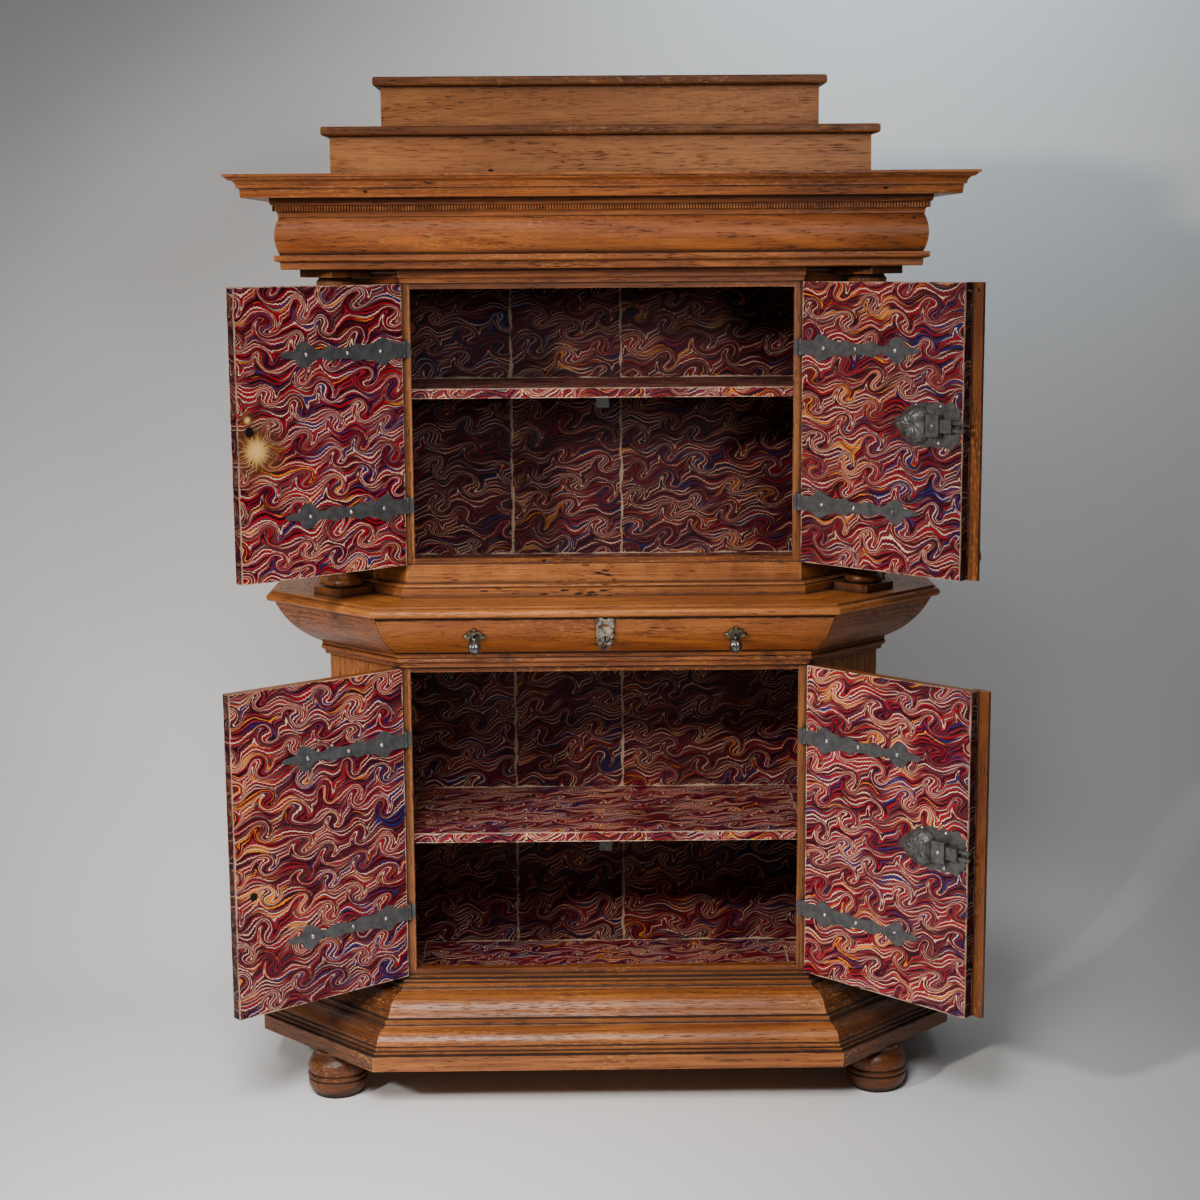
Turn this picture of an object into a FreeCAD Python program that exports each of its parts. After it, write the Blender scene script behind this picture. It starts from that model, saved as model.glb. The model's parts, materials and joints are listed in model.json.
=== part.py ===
import FreeCAD, Part
import math
import os

from FreeCAD import Placement, Rotation, Vector

os.makedirs("parts", exist_ok=True)
doc = FreeCAD.newDocument("cabinet")

# Driving sizes, in millimetres and degrees. The frame has +Z up, the front towards -Y,
# and the floor at zero.
SIZES = {
    # plan of the two cases: flat front, corners canted at 45 degrees, straight sides
    "case_half": 576, "case_depth": 427, "front_reach": 60, "upper_setback": 27,
    "lower_corner": 412, "upper_corner": 400,
    "wall": 20, "back_board": 16, "stile_face": 16,
    # heights of the storeys, from the floor up
    "foot_height": 95, "plinth_height": 151, "lower_opening": 653, "waist_moulding": 29,
    "flare_height": 90, "waist_board": 22, "base_height": 64, "upper_opening": 566,
    "head_height": 28, "architrave_height": 28, "frieze_height": 74, "bed_height": 36,
    "cornice_height": 44, "lower_step_height": 97, "upper_step_height": 103,
    # bun feet
    "foot_radius": 62, "foot_sole": 47, "foot_neck": 45, "foot_belly": 43, "foot_groove": 3,
    "foot_x": 563, "foot_y": 73, "rear_foot_x": 645, "rear_foot_inset": 95,
    # how far the mouldings stand out from what they lie on
    "plinth_reach": 155, "waist_reach": 16, "flare_foot": 20, "flare_reach": 108,
    "flare_swell": 12, "board_reach": 125, "base_reach": 20, "head_reach": 14,
    "architrave_reach": 11, "frieze_swell": 9, "bed_reach": 16, "corona_reach": 64,
    "cornice_reach": 94,
    # inside: floors, shelves and rails
    "deck": 20, "floor_drop": 66, "upper_floor_drop": 34, "shelf": 20,
    "lower_shelf_rise": 294, "lower_shelf_setback": 30,
    "upper_shelf_rise": 353, "upper_shelf_setback": 40,
    "bearer": 20, "bearer_gap": 6, "rail": 20, "rail_lap": 12,
    "catch_width": 26, "catch_depth": 10, "catch_drop": 20,
    # corner columns
    "column_along": 88, "column_offset": 65, "column_block": 86, "column_abacus": 100,
    "block_height": 16, "torus_radius": 39, "shaft_radius": 30, "shaft_neck": 26,
    # entablature and the two steps on top
    "entablature_over": 27, "entablature_front_over": 20, "entablature_wall": 30,
    "lower_step_half": 539, "lower_step_y": 11, "lower_cap": 18, "lower_overhang": 16,
    "upper_step_half": 444, "upper_step_y": 105, "upper_cap": 19, "upper_overhang": 15,
    "step_wall": 18,
    # drawer
    "drawer_inset": 40, "drawer_clear": 71, "drawer_side": 12, "drawer_height": 72,
    "drawer_bottom": 8, "bottom_groove": 4, "drawer_gap": 1.6, "run_gap": 0.4, "guide": 24,
    "pull_x": 260, "pull_rise": 48, "pull_rosette": 22, "pull_lobe": 15, "pull_plate": 3,
    "pull_standoff": 7, "drop_length": 6.5, "drop_radius": 13,
    "escutcheon_half": 19, "escutcheon_height": 102, "escutcheon_plate": 2.5,
    # doors
    "door_thickness": 22, "door_gap": 1.5, "meeting_gap": 2, "door_standoff": 3,
    "upper_left_open": 139, "upper_right_open": 135,
    "lower_left_open": 141, "lower_right_open": 135,
    "frame_inset": 46, "frame_width": 38, "frame_rise": 13, "field_rise": 8, "field_bevel": 26,
    "astragal_lap": 23, "astragal_seat": 17, "astragal_rise": 13, "corbel_foot": 34, "corbel_height": 62,
    "corbel_reach": 12,
    # strap hinges
    "pivot_inset": 4, "pivot_reach": 6, "hinge_edge": 7, "barrel_radius": 5, "pin_radius": 2.45,
    "pin_clearance": 0.05, "barrel_height": 12, "knuckle_height": 9, "barrel_gap": 0.3,
    "leaf": 2, "strap": 2.5, "strap_length": 288, "nail_radius": 5.5,
    "upper_hinge_sill": 122, "upper_hinge_head": 132,
    "lower_hinge_sill": 137, "lower_hinge_head": 151,
    # box locks on the right-hand doors
    "upper_lock_rise": 295, "lower_lock_rise": 329, "lock_plate": 2, "lock_half": 43,
    "lock_reach": 164, "nose_start": 17, "nose_half": 12.5, "nose_height": 12,
    "box_start": 43, "box_end": 73, "box_half": 21, "box_height": 17,
    "dome_start": 75, "dome_end": 161, "dome_half": 38, "dome_height": 20, "lock_shell": 1.5,
    "bolt_half": 10.5, "bolt_prong": 6.5, "bolt_thickness": 7, "bolt_out": 9, "bolt_tail": 40,
    "bolt_gap": 0.5,
}

# Levels that follow from those sizes.
LEVELS = {
    "back_y": "size.case_depth - size.front_reach",
    "lower_y": "-size.front_reach",
    "upper_y": "size.upper_setback - size.front_reach",
    "plinth_top": "size.foot_height + size.plinth_height",
    "waist_base": "plinth_top + size.lower_opening",
    "flare_base": "waist_base + size.waist_moulding",
    "board_base": "flare_base + size.flare_height",
    "upper_base": "board_base + size.waist_board",
    "upper_sill": "upper_base + size.base_height",
    "head_base": "upper_sill + size.upper_opening",
    "architrave_base": "head_base + size.head_height",
    "frieze_base": "architrave_base + size.architrave_height",
    "bed_base": "frieze_base + size.frieze_height",
    "cornice_base": "bed_base + size.bed_height",
    "cornice_top": "cornice_base + size.cornice_height",
    "lower_step_top": "cornice_top + size.lower_step_height",
    "upper_step_top": "lower_step_top + size.upper_step_height",
    "lower_shelf_top": "plinth_top + size.lower_shelf_rise",
    "upper_shelf_top": "upper_sill + size.upper_shelf_rise",
    "lower_hinge_low": "plinth_top + size.lower_hinge_sill",
    "lower_hinge_high": "waist_base - size.lower_hinge_head",
    "upper_hinge_low": "upper_sill + size.upper_hinge_sill",
    "upper_hinge_high": "head_base - size.upper_hinge_head",
    "lower_lock": "plinth_top + size.lower_lock_rise",
    "upper_lock": "upper_sill + size.upper_lock_rise",
    "drawer_rear": "back_y - size.back_board - size.drawer_clear",
    "drawer_half": "size.lower_corner - size.drawer_inset",
    "column_x": "size.upper_corner + size.column_along + size.column_offset / sqrt(2)",
    "column_y": "upper_y + size.column_along - size.column_offset / sqrt(2)",
    "entablature_half": "column_x + size.column_abacus / sqrt(2) + size.entablature_over",
    "entablature_y": "column_y - size.column_abacus / sqrt(2) - size.entablature_front_over",
}


def fill(name, cells):
    """A sheet with one aliased cell per entry."""
    made = doc.addObject("Spreadsheet::Sheet", name)
    for row, (alias, content) in enumerate(cells.items(), start=1):
        made.set(f"A{row}", alias)
        made.setAlias(f"B{row}", alias)
        made.set(f"B{row}", content)
    doc.recompute()
    return made


sheet = fill("size", {alias: str(number) for alias, number in SIZES.items()})
levels = fill("level", {alias: "=" + formula for alias, formula in LEVELS.items()})

UP = Vector(0, 0, 1)
DIAGONAL = math.sqrt(2)
nodes = []


def mm(alias):
    """The value of one cell."""
    return float((sheet if alias in SIZES else levels).get(alias))


def keep(node):
    """Hands a finished sub-part on to the export."""
    nodes.append(node)
    return node


def group(label, members, placement=None):
    """One sub-part made of several separate solids."""
    node = doc.addObject("Part::Compound", label)
    node.Links = members
    if placement is not None:
        node.Placement = placement
    return keep(node)


def board(label, x, y, z):
    """A flat board between two limits on each axis, all given as expressions."""
    box = doc.addObject("Part::Box", label)
    for side, axis, (low, high) in (("Length", "x", x), ("Width", "y", y), ("Height", "z", z)):
        box.setExpression(side, f"({high}) - ({low})")
        box.setExpression(f"Placement.Base.{axis}", low)
    return box


def handed(sign, high, low=None):
    """Limits across the cabinet for the right hand, mirrored for the left, or both ways for zero."""
    if sign == 0:
        return f"-({high})", high
    return (low, high) if sign > 0 else (f"-({high})", f"-({low})")


def rod(label, radius, height, base):
    """An upright round bar; radius and height are expressions."""
    cylinder = doc.addObject("Part::Cylinder", label)
    cylinder.setExpression("Radius", radius)
    cylinder.setExpression("Height", height)
    cylinder.Placement = Placement(base, Rotation())
    return cylinder


def fuse(label, members):
    """Several overlapping shapes as one solid."""
    union = doc.addObject("Part::MultiFuse", label)
    union.Shapes = members
    return union


def cut(label, base, tool):
    """One solid with another taken out of it."""
    left = doc.addObject("Part::Cut", label)
    left.Base = base
    left.Tool = tool
    return left


def strokes(outline):
    """Lines and arcs round a closed outline: a third number swells the stretch to that point,
    in millimetres to the right of travel."""
    made = []
    for start, end in zip(outline, outline[1:] + outline[:1]):
        first = Vector(start[0], start[1])
        last = Vector(end[0], end[1])
        if len(end) == 3:
            chord = last - first
            side = Vector(chord.y, -chord.x).normalize()
            made.append(Part.Arc(first, (first + last) * 0.5 + side * end[2], last))
        else:
            made.append(Part.LineSegment(first, last))
    return made


def sketch_on(body, role, outline):
    """A closed sketch on one of a body's own planes."""
    sketch = body.newObject("Sketcher::SketchObject", body.Name + "_outline")
    plane = next(item for item in body.Origin.OriginFeatures if item.Role == role)
    sketch.AttachmentSupport = [(plane, "")]
    sketch.MapMode = "FlatFace"
    for stroke in strokes(outline):
        sketch.addGeometry(stroke)
    return sketch


def slab(label, outline, thickness, placement):
    """A board or plate cut to an outline; thickness is an expression."""
    body = doc.addObject("PartDesign::Body", label)
    pad = body.newObject("PartDesign::Pad", label + "_pad")
    pad.Profile = sketch_on(body, "XY_Plane", outline)
    pad.setExpression("Length", thickness)
    body.Placement = placement
    return body


def turned(label, outline, base):
    """A piece turned about an upright axis, from half its outline as (radius, height)."""
    body = doc.addObject("PartDesign::Body", label)
    sketch = sketch_on(body, "XZ_Plane", outline)
    revolution = body.newObject("PartDesign::Revolution", label + "_turn")
    revolution.Profile = sketch
    revolution.ReferenceAxis = (sketch, ["V_Axis"])
    revolution.Angle = 360
    body.Placement = Placement(base, Rotation())
    return body


def flat(x, y, z):
    """A placement without a turn."""
    return Placement(Vector(x, y, z), Rotation())


def moulding(path, section, low, closed=False):
    """Mitred lengths of one section along a plan path. The section is drawn as
    (distance out, height), and out is to the right of travel."""
    reach = 200
    stops = [Vector(*point) for point in path]
    if closed:
        stops.append(stops[0])
    along = [(after - before).normalize() for before, after in zip(stops, stops[1:])]
    outs = [Vector(way.y, -way.x) for way in along]
    mitres = [(a + b) * (1 / (1 + a.dot(b))) for a, b in zip(outs, outs[1:])]
    ends = [(outs[-1] + outs[0]) * 1.0] * 2 if closed else [outs[0], outs[-1]]
    mitres = [ends[0]] + mitres + [ends[1]]
    face = Part.Face(Part.Wire([stroke.toShape() for stroke in strokes(section)]))
    inner = max(0.1, -min(point[0] for point in section)) + 1
    bars = []
    for index, way in enumerate(along):
        start, end = stops[index], stops[index + 1]
        bar = face.copy()
        bar.Placement = Placement(start - way * reach + UP * low, Rotation(outs[index], UP, way * -1, "XYZ"))
        bar = bar.extrude(way * ((end - start).Length + 2 * reach))
        first, last = mitres[index], mitres[index + 1]
        plan = [start - first * inner, start + first * reach, end + last * reach, end - last * inner]
        wedge = Part.Face(Part.makePolygon(plan + plan[:1])).extrude(UP * (bar.BoundBox.ZLength + 2))
        wedge.translate(UP * (bar.BoundBox.ZMin - 1))
        bars.append(bar.common(wedge).Solids[0])
    return bars


def lengths(label, solids):
    """Mitred lengths of moulding as one sub-part."""
    node = doc.addObject("Part::Feature", label)
    node.Shape = Part.Compound(solids) if len(solids) > 1 else solids[0]
    return keep(node)


def case_path(corner, front):
    """Plan of a case from its back left corner round the front to its back right corner."""
    half = mm("case_half")
    cant = front + half - corner
    right = [(corner, front), (half, cant), (half, mm("back_y"))]
    return [(-x, y) for x, y in reversed(right)] + right


def square_path(half, front):
    """Plan of a square-cornered storey, open at the back."""
    right = [(half, front), (half, mm("back_y"))]
    return [(-x, y) for x, y in reversed(right)] + right


def inside_plan(corner, front, setback):
    """Outline of a floor or shelf that fits between the walls, its front edge set back."""
    side = mm("case_half") - mm("wall")
    inner_line = corner - mm("wall") * DIAGONAL
    stile = corner - mm("stile_face")
    back = mm("back_y") - mm("back_board")
    turn = stile - inner_line
    if setback < turn:
        edge = [(stile, front + setback), (stile, front + turn)]
    else:
        edge = [(inner_line + setback, front + setback)]
    right = edge + [(side, front + side - inner_line), (side, back)]
    return right + [(-x, y) for x, y in reversed(right)]


lower_path = case_path(mm("lower_corner"), mm("lower_y"))
upper_path = case_path(mm("upper_corner"), mm("upper_y"))
entablature_path = square_path(mm("entablature_half"), mm("entablature_y"))
CASES = {
    "lower": {"corner": "size.lower_corner", "front": "level.lower_y", "low": "size.foot_height",
              "high": "level.board_base", "sill": "level.plinth_top", "head": "level.waist_base"},
    "upper": {"corner": "size.upper_corner", "front": "level.upper_y", "low": "level.upper_base",
              "high": "level.architrave_base", "sill": "level.upper_sill", "head": "level.head_base"},
}
HINGE_RISES = ("low", "high")

# Bun feet: four turned feet under the plinth, flat on the floor, with two grooves round the belly.
belly, groove, foot_radius = mm("foot_belly"), mm("foot_groove"), mm("foot_radius")
foot_outline = [
    (0, 0), (mm("foot_sole"), 0), (mm("foot_sole") + 3, 5),
    (foot_radius - 1, belly - 3 * groove, 4), (foot_radius - groove - 1, belly - 2 * groove),
    (foot_radius, belly - groove), (foot_radius, belly + groove, 0.5),
    (foot_radius - groove - 1, belly + 2 * groove), (foot_radius - 1, belly + 3 * groove),
    (mm("foot_neck"), mm("foot_height") - 7, 6), (mm("foot_neck"), mm("foot_height")), (0, mm("foot_height")),
]
foot_places = {
    "front_left": (-mm("foot_x"), -mm("foot_y")),
    "front_right": (mm("foot_x"), -mm("foot_y")),
    "rear_left": (-mm("rear_foot_x"), mm("back_y") - mm("rear_foot_inset")),
    "rear_right": (mm("rear_foot_x"), mm("back_y") - mm("rear_foot_inset")),
}
group("bun_feet", [turned(f"foot_{name}", foot_outline, Vector(x, y, 0))
                   for name, (x, y) in foot_places.items()])

# Plinth: a heavy moulding mitred round the foot of the lower case, hollowed at its back.
reach = mm("plinth_reach")
plinth_height = mm("plinth_height")
plinth = moulding(lower_path, [
    (40, 0), (reach, 0), (reach, 31), (reach - 7, 31), (reach - 7, 36), (reach - 13, 38),
    (reach - 13, 44), (reach - 17, 46), (reach - 43, 74, 7), (reach - 51, 76), (reach - 55, 80),
    (reach - 55, 87), (reach - 65, 89), (reach - 70, 95), (reach - 74, 99), (38, 127, 9),
    (28, 132, -2), (28, 138), (18, 140), (18, 146), (8, 147), (8, plinth_height),
    (0, plinth_height), (0, 115), (40, 80),
], mm("foot_height"))
lengths("plinth_front", plinth[2:3])
lengths("plinth_returns", plinth[:2] + plinth[3:])

# Walls of both cases: a canted board and a side board each way, mitred where they meet.
# The canted boards are let in at the front edge for the frame leaves of the hinges.
for name, case in CASES.items():
    corner, front = mm(f"{name}_corner"), mm(f"{name}_y")
    half, wall, stile = mm("case_half"), mm("wall"), corner - mm("stile_face")
    inner_line = corner - wall * DIAGONAL
    mitre = [(half, front + half - corner), (half - wall, front + half - wall - inner_line)]
    cants, sides = [], []
    for hand, sign in (("left", -1), ("right", 1)):
        cant_outline = [(corner, front), (stile, front), (stile, front + stile - inner_line),
                        mitre[1], mitre[0]]
        side_outline = [mitre[0], mitre[1], (half - wall, mm("back_y")), (half, mm("back_y"))]
        height = f"{case['high']} - {case['low']}"
        low = mm("foot_height") if name == "lower" else mm("upper_base")
        cant = slab(f"{name}_cant_{hand}_board", [(sign * x, y) for x, y in cant_outline],
                    height, flat(0, 0, low))
        side = slab(f"{name}_side_{hand}", [(sign * x, y) for x, y in side_outline],
                    height, flat(0, 0, low))
        notches = []
        for rise in HINGE_RISES:
            middle = f"level.{name}_hinge_{rise}"
            spread = "size.barrel_height / 2 + size.barrel_gap + size.knuckle_height"
            across = handed(sign, f"{case['corner']} + size.barrel_radius",
                            f"{case['corner']} - size.stile_face - 1")
            notches.append(board(
                f"{name}_{hand}_notch_{rise}", across,
                (f"{case['front']} - 1", f"{case['front']} + size.leaf"),
                (f"{middle} - ({spread})", f"{middle} + {spread}")))
        tool = fuse(f"{name}_{hand}_notches", notches)
        cants.append(cut(f"{name}_cant_{hand}", cant, tool))
        sides.append(side)
    group(f"{name}_cants", cants)
    group(f"{name}_sides", sides)

# Back boards: three upright boards let in between the sides of each case.
for name, case in CASES.items():
    inside = "(size.case_half - size.wall)"
    boards = []
    for index in range(3):
        ends = [f"{inside} * {2 * step / 3 - 1}" for step in (index, index + 1)]
        boards.append(board(f"{name}_back_{index + 1}", ends,
                            ("level.back_y - size.back_board", "level.back_y"), (case["low"], case["high"])))
    group(f"{name}_back_boards", boards)

# Floors, shelves and the deck that the drawer runs on, each cut to the inside of its case.
lower_floor_top = mm("plinth_top") - mm("floor_drop")
upper_floor_top = mm("upper_sill") - mm("upper_floor_drop")
for label, name, setback, thickness, top in (
    ("lower_floor", "lower", 0, "deck", lower_floor_top),
    ("lower_shelf", "lower", mm("lower_shelf_setback"), "shelf", mm("lower_shelf_top")),
    ("drawer_deck", "lower", 0, "deck", mm("flare_base")),
    ("upper_floor", "upper", 0, "deck", upper_floor_top),
    ("upper_shelf", "upper", mm("upper_shelf_setback"), "shelf", mm("upper_shelf_top")),
):
    plan = inside_plan(mm(f"{name}_corner"), mm(f"{name}_y"), setback)
    keep(slab(label, plan, f"size.{thickness}", flat(0, 0, top - mm(thickness))))

# Bearers: a strip on each side wall under each shelf.
bearers = []
for name, case in CASES.items():
    for hand, sign in (("left", -1), ("right", 1)):
        across = handed(sign, "size.case_half - size.wall", "size.case_half - size.wall - size.bearer")
        underside = f"level.{name}_shelf_top - size.shelf"
        mitre_y = f"{case['front']} + size.case_half - {case['corner']} + (sqrt(2) - 1) * size.wall"
        bearers.append(board(
            f"{name}_bearer_{hand}", across,
            (f"{mitre_y} + size.bearer_gap", "level.back_y - size.back_board"),
            (f"{underside} - size.bearer", underside)))
group("shelf_bearers", bearers)

# Rails above and below each pair of doors, which lap a little behind the door edges.
rails = []
for name, case in CASES.items():
    across = handed(0, f"{case['corner']} - size.stile_face")
    deep = (case["front"], f"{case['front']} + size.rail")
    floor_top = f"{case['sill']} - size.{'floor_drop' if name == 'lower' else 'upper_floor_drop'}"
    ceiling = "level.flare_base - size.deck" if name == "lower" else "level.architrave_base"
    rails.append(board(f"{name}_sill_rail", across, deep, (floor_top, f"{case['sill']} + size.rail_lap")))
    rails.append(board(f"{name}_head_rail", across, deep, (f"{case['head']} - size.rail_lap", ceiling)))
group("door_rails", rails)

# Catches: an iron block under the middle of each shelf's front edge.
catches = []
for name, case in CASES.items():
    edge = f"{case['front']} + size.{name}_shelf_setback"
    underside = f"level.{name}_shelf_top - size.shelf"
    catches.append(board(
        f"{name}_catch", ("-size.catch_width / 2", "size.catch_width / 2"),
        (edge, f"{edge} + size.catch_depth"), (f"{underside} - size.catch_drop", underside)))
group("shelf_catches", catches)

# Waist: a small moulding, a flared section whose front length is the drawer, and a board
# with a rounded nosing that carries the upper case.
waist_reach = mm("waist_reach")
lengths("waist_moulding", moulding(lower_path, [
    (0, 0), (waist_reach - 7, 0), (waist_reach - 5, 8), (waist_reach - 1, 10),
    (waist_reach - 1, 20, 3), (waist_reach, 22), (waist_reach, 29), (0, mm("waist_moulding")),
], mm("waist_base")))


def flare_section(gap):
    """Section of the flared waist: it swells outwards as it rises."""
    crown = mm("flare_height") - gap
    return [(0, gap), (mm("flare_foot"), gap), (mm("flare_reach"), crown, mm("flare_swell")), (0, crown)]


flares = moulding(lower_path, flare_section(0), mm("flare_base"))
lengths("waist_flares", flares[:2] + flares[3:])

nosing = mm("board_reach")
nose = moulding(lower_path, [
    (-1, 0), (nosing - 9, 0), (nosing - 9, 16, 8), (nosing - 12, 17), (nosing - 12, mm("waist_board")),
    (-1, mm("waist_board")),
], mm("board_base"))
core = Part.Face(Part.makePolygon([Vector(*point) for point in lower_path + lower_path[:1]]))
core = core.extrude(UP * mm("waist_board"))
core.translate(UP * mm("board_base"))
waist_board = doc.addObject("Part::Feature", "waist_board")
waist_board.Shape = core.multiFuse(nose).removeSplitter().Solids[0]
keep(waist_board)

# Base and head mouldings of the upper case.
base_reach = mm("base_reach")
lengths("upper_base_moulding", moulding(upper_path, [
    (0, 0), (base_reach, 0), (base_reach, 16), (base_reach - 5, 18), (base_reach - 10, 25, 3),
    (3, 26), (3, mm("base_height")), (0, mm("base_height")),
], mm("upper_base")))
head_reach = mm("head_reach")
lengths("head_moulding", moulding(upper_path, [
    (0, 0), (head_reach - 8, 0), (head_reach - 8, 8), (head_reach - 4, 11), (head_reach - 4, 18),
    (head_reach, 22), (head_reach, mm("head_height")), (0, mm("head_height")),
], mm("head_base")))

# Columns: a turned shaft on a square block and under a square abacus, set cornerwise in
# front of each canted side of the upper case.
block_height = mm("block_height")
column_height = mm("architrave_base") - mm("upper_base") - 2 * block_height
torus, shaft, neck = mm("torus_radius"), mm("shaft_radius"), mm("shaft_neck")
column_outline = [
    (0, 0), (torus - 5, 0), (torus - 5, 18, 5), (torus - 7, 20), (torus - 7, 25), (shaft + 1, 33, -3),
    (shaft, 40), (neck, column_height - 62, 3), (neck + 5, column_height - 60),
    (neck + 5, column_height - 53, 3), (neck + 1, column_height - 51),
    (neck + 1, column_height - 30), (neck + 6, column_height - 26),
    (torus - 5, column_height - 20, -2), (torus - 5, column_height - 4, 5), (torus - 5, column_height),
    (0, column_height),
]
column_x, column_y = mm("column_x"), mm("column_y")
columns, blocks = [], []
for hand, sign in (("left", -1), ("right", 1)):
    columns.append(turned(f"column_{hand}", column_outline,
                          Vector(sign * column_x, column_y, mm("upper_base") + block_height)))
    for part, low in (("block", mm("upper_base")), ("abacus", mm("architrave_base") - block_height)):
        square = doc.addObject("Part::Box", f"column_{part}_{hand}")
        for side in ("Length", "Width"):
            square.setExpression(side, f"size.column_{part}")
        square.setExpression("Height", "size.block_height")
        half = mm(f"column_{part}") / 2
        turn = Placement(Vector(sign * column_x, column_y, low), Rotation(UP, 45))
        square.Placement = turn.multiply(flat(-half, -half, 0))
        blocks.append(square)
group("columns", columns)
group("column_blocks", blocks)

# Entablature: architrave, swelling frieze, bed moulding and cornice, each mitred at the
# front corners, with a deck inside the architrave and another inside the cornice.
entablature_wall = mm("entablature_wall")
architrave_reach, frieze_swell = mm("architrave_reach"), mm("frieze_swell")
lengths("architrave", moulding(entablature_path, [
    (-entablature_wall, 0), (-2, 0), (0, 2), (0, 14), (architrave_reach - 4, 16),
    (architrave_reach, 22, 2), (architrave_reach, mm("architrave_height")),
    (-entablature_wall, mm("architrave_height")),
], mm("architrave_base")))
lengths("frieze", moulding(entablature_path, [
    (-entablature_wall, 0), (0, 0), (0, mm("frieze_height"), frieze_swell),
    (-entablature_wall, mm("frieze_height")),
], mm("frieze_base")))
bed_reach = mm("bed_reach")
lengths("bed_moulding", moulding(entablature_path, [
    (-entablature_wall, 0), (2, 0), (2, 6), (bed_reach - 7, 11, -2), (bed_reach - 7, 21),
    (bed_reach, 29, 2), (bed_reach, mm("bed_height")), (-entablature_wall, mm("bed_height")),
], mm("bed_base")))
corona, cornice_reach = mm("corona_reach"), mm("cornice_reach")
lengths("cornice", moulding(entablature_path, [
    (-entablature_wall, 0), (corona, 0), (corona + 2, 18), (corona + 7, 18), (corona + 7, 21),
    (corona + 16, 32, -2), (cornice_reach - 4, 39, 2), (cornice_reach, 39),
    (cornice_reach, mm("cornice_height")), (-entablature_wall, mm("cornice_height")),
], mm("cornice_base")))
deck_across = handed(0, "level.entablature_half - size.entablature_wall")
deck_deep = ("level.entablature_y + size.entablature_wall", "level.back_y")
group("entablature_decks", [
    board("architrave_deck", deck_across, deck_deep,
          ("level.architrave_base", "level.architrave_base + size.deck")),
    board("cornice_deck", deck_across, deck_deep,
          ("level.cornice_top - size.deck", "level.cornice_top")),
])

# Stepped top: two boxes with overhanging caps, flush with the back.
for name, base in (("lower", "cornice_top"), ("upper", "lower_step_top")):
    height = mm(f"{name}_step_height") - mm(f"{name}_cap")
    step_path = square_path(mm(f"{name}_step_half"), mm(f"{name}_step_y"))
    lengths(f"{name}_step", moulding(step_path, [
        (-mm("step_wall"), 0), (0, 0), (0, height), (-mm("step_wall"), height),
    ], mm(base)))
    over = f"size.{name}_overhang"
    plank = board(f"{name}_step_plank", handed(0, f"size.{name}_step_half + {over}"),
                  (f"size.{name}_step_y - {over}", "level.back_y"),
                  (f"level.{name}_step_top - size.{name}_cap", f"level.{name}_step_top"))
    doc.recompute()
    cap = doc.addObject("Part::Fillet", f"{name}_step_cap")
    cap.Base = plank
    front_y = plank.Shape.BoundBox.YMin
    width = plank.Shape.BoundBox.XMax
    rounded = []
    for index, edge in enumerate(plank.Shape.Edges, start=1):
        box = edge.BoundBox
        level_edge = box.ZLength < 1 and (box.YMax < front_y + 1 or abs(abs(box.Center.x) - width) < 1)
        if level_edge:
            rounded.append((index, mm(f"{name}_cap") * 0.3, mm(f"{name}_cap") * 0.3))
    cap.Edges = rounded
    keep(cap)

# Drawer: the front length of the flared waist with a plain box behind it, running on the
# deck between two guides that fill the room up to the stiles.
gap = mm("drawer_gap")
drawer_path = [(x - math.copysign(gap, x), y) for x, y in lower_path[1:5]]
lengths("drawer_front", moulding(drawer_path, flare_section(gap), mm("flare_base"))[1:2])
bottom_z = "level.flare_base + size.run_gap"
inside = "level.drawer_half - size.drawer_side"
rear = "level.drawer_rear"
box_top = f"{bottom_z} + size.drawer_height"
group("drawer_box", [
    board("drawer_side_left", handed(-1, "level.drawer_half", inside),
          ("level.lower_y", rear), (bottom_z, box_top)),
    board("drawer_side_right", handed(1, "level.drawer_half", inside),
          ("level.lower_y", rear), (bottom_z, box_top)),
    board("drawer_back", handed(0, inside), (f"{rear} - size.drawer_side", rear), (bottom_z, box_top)),
    board("drawer_bottom_board", handed(0, inside), ("level.lower_y", f"{rear} - size.drawer_side"),
          (f"{bottom_z} + size.bottom_groove", f"{bottom_z} + size.bottom_groove + size.drawer_bottom")),
])
guide_limits = ("size.lower_corner - size.stile_face", "level.drawer_half + size.drawer_gap")
guide_deep = ("level.lower_y + size.rail", "level.back_y - size.back_board")
guide_tall = ("level.flare_base", "level.flare_base + size.guide")
group("drawer_guides", [
    board("guide_left", handed(-1, *guide_limits), guide_deep, guide_tall),
    board("guide_right", handed(1, *guide_limits), guide_deep, guide_tall),
])

# The drawer's face is part of a cylinder: its centre and radius place the fittings on it.
foot_point = Vector(mm("flare_foot"), gap)
crown_point = Vector(mm("flare_reach"), mm("flare_height") - gap)
chord = crown_point - foot_point
swell = mm("flare_swell")
face_radius = (chord.Length ** 2 / 4 + swell ** 2) / (2 * swell)
outwards = Vector(chord.y, -chord.x).normalize()
face_centre = (foot_point + crown_point) * 0.5 - outwards * (face_radius - swell)
face_axis_y = mm("lower_y") - face_centre.x
face_axis_z = mm("flare_base") + face_centre.y


def on_face(x, rise, stand):
    """A point that far off the drawer's face, at a height above the flare's foot."""
    lean = math.asin((rise - face_centre.y) / face_radius)
    out = (face_radius + stand) * math.cos(lean)
    return Vector(x, face_axis_y - out, face_axis_z + (face_radius + stand) * math.sin(lean)), lean


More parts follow.
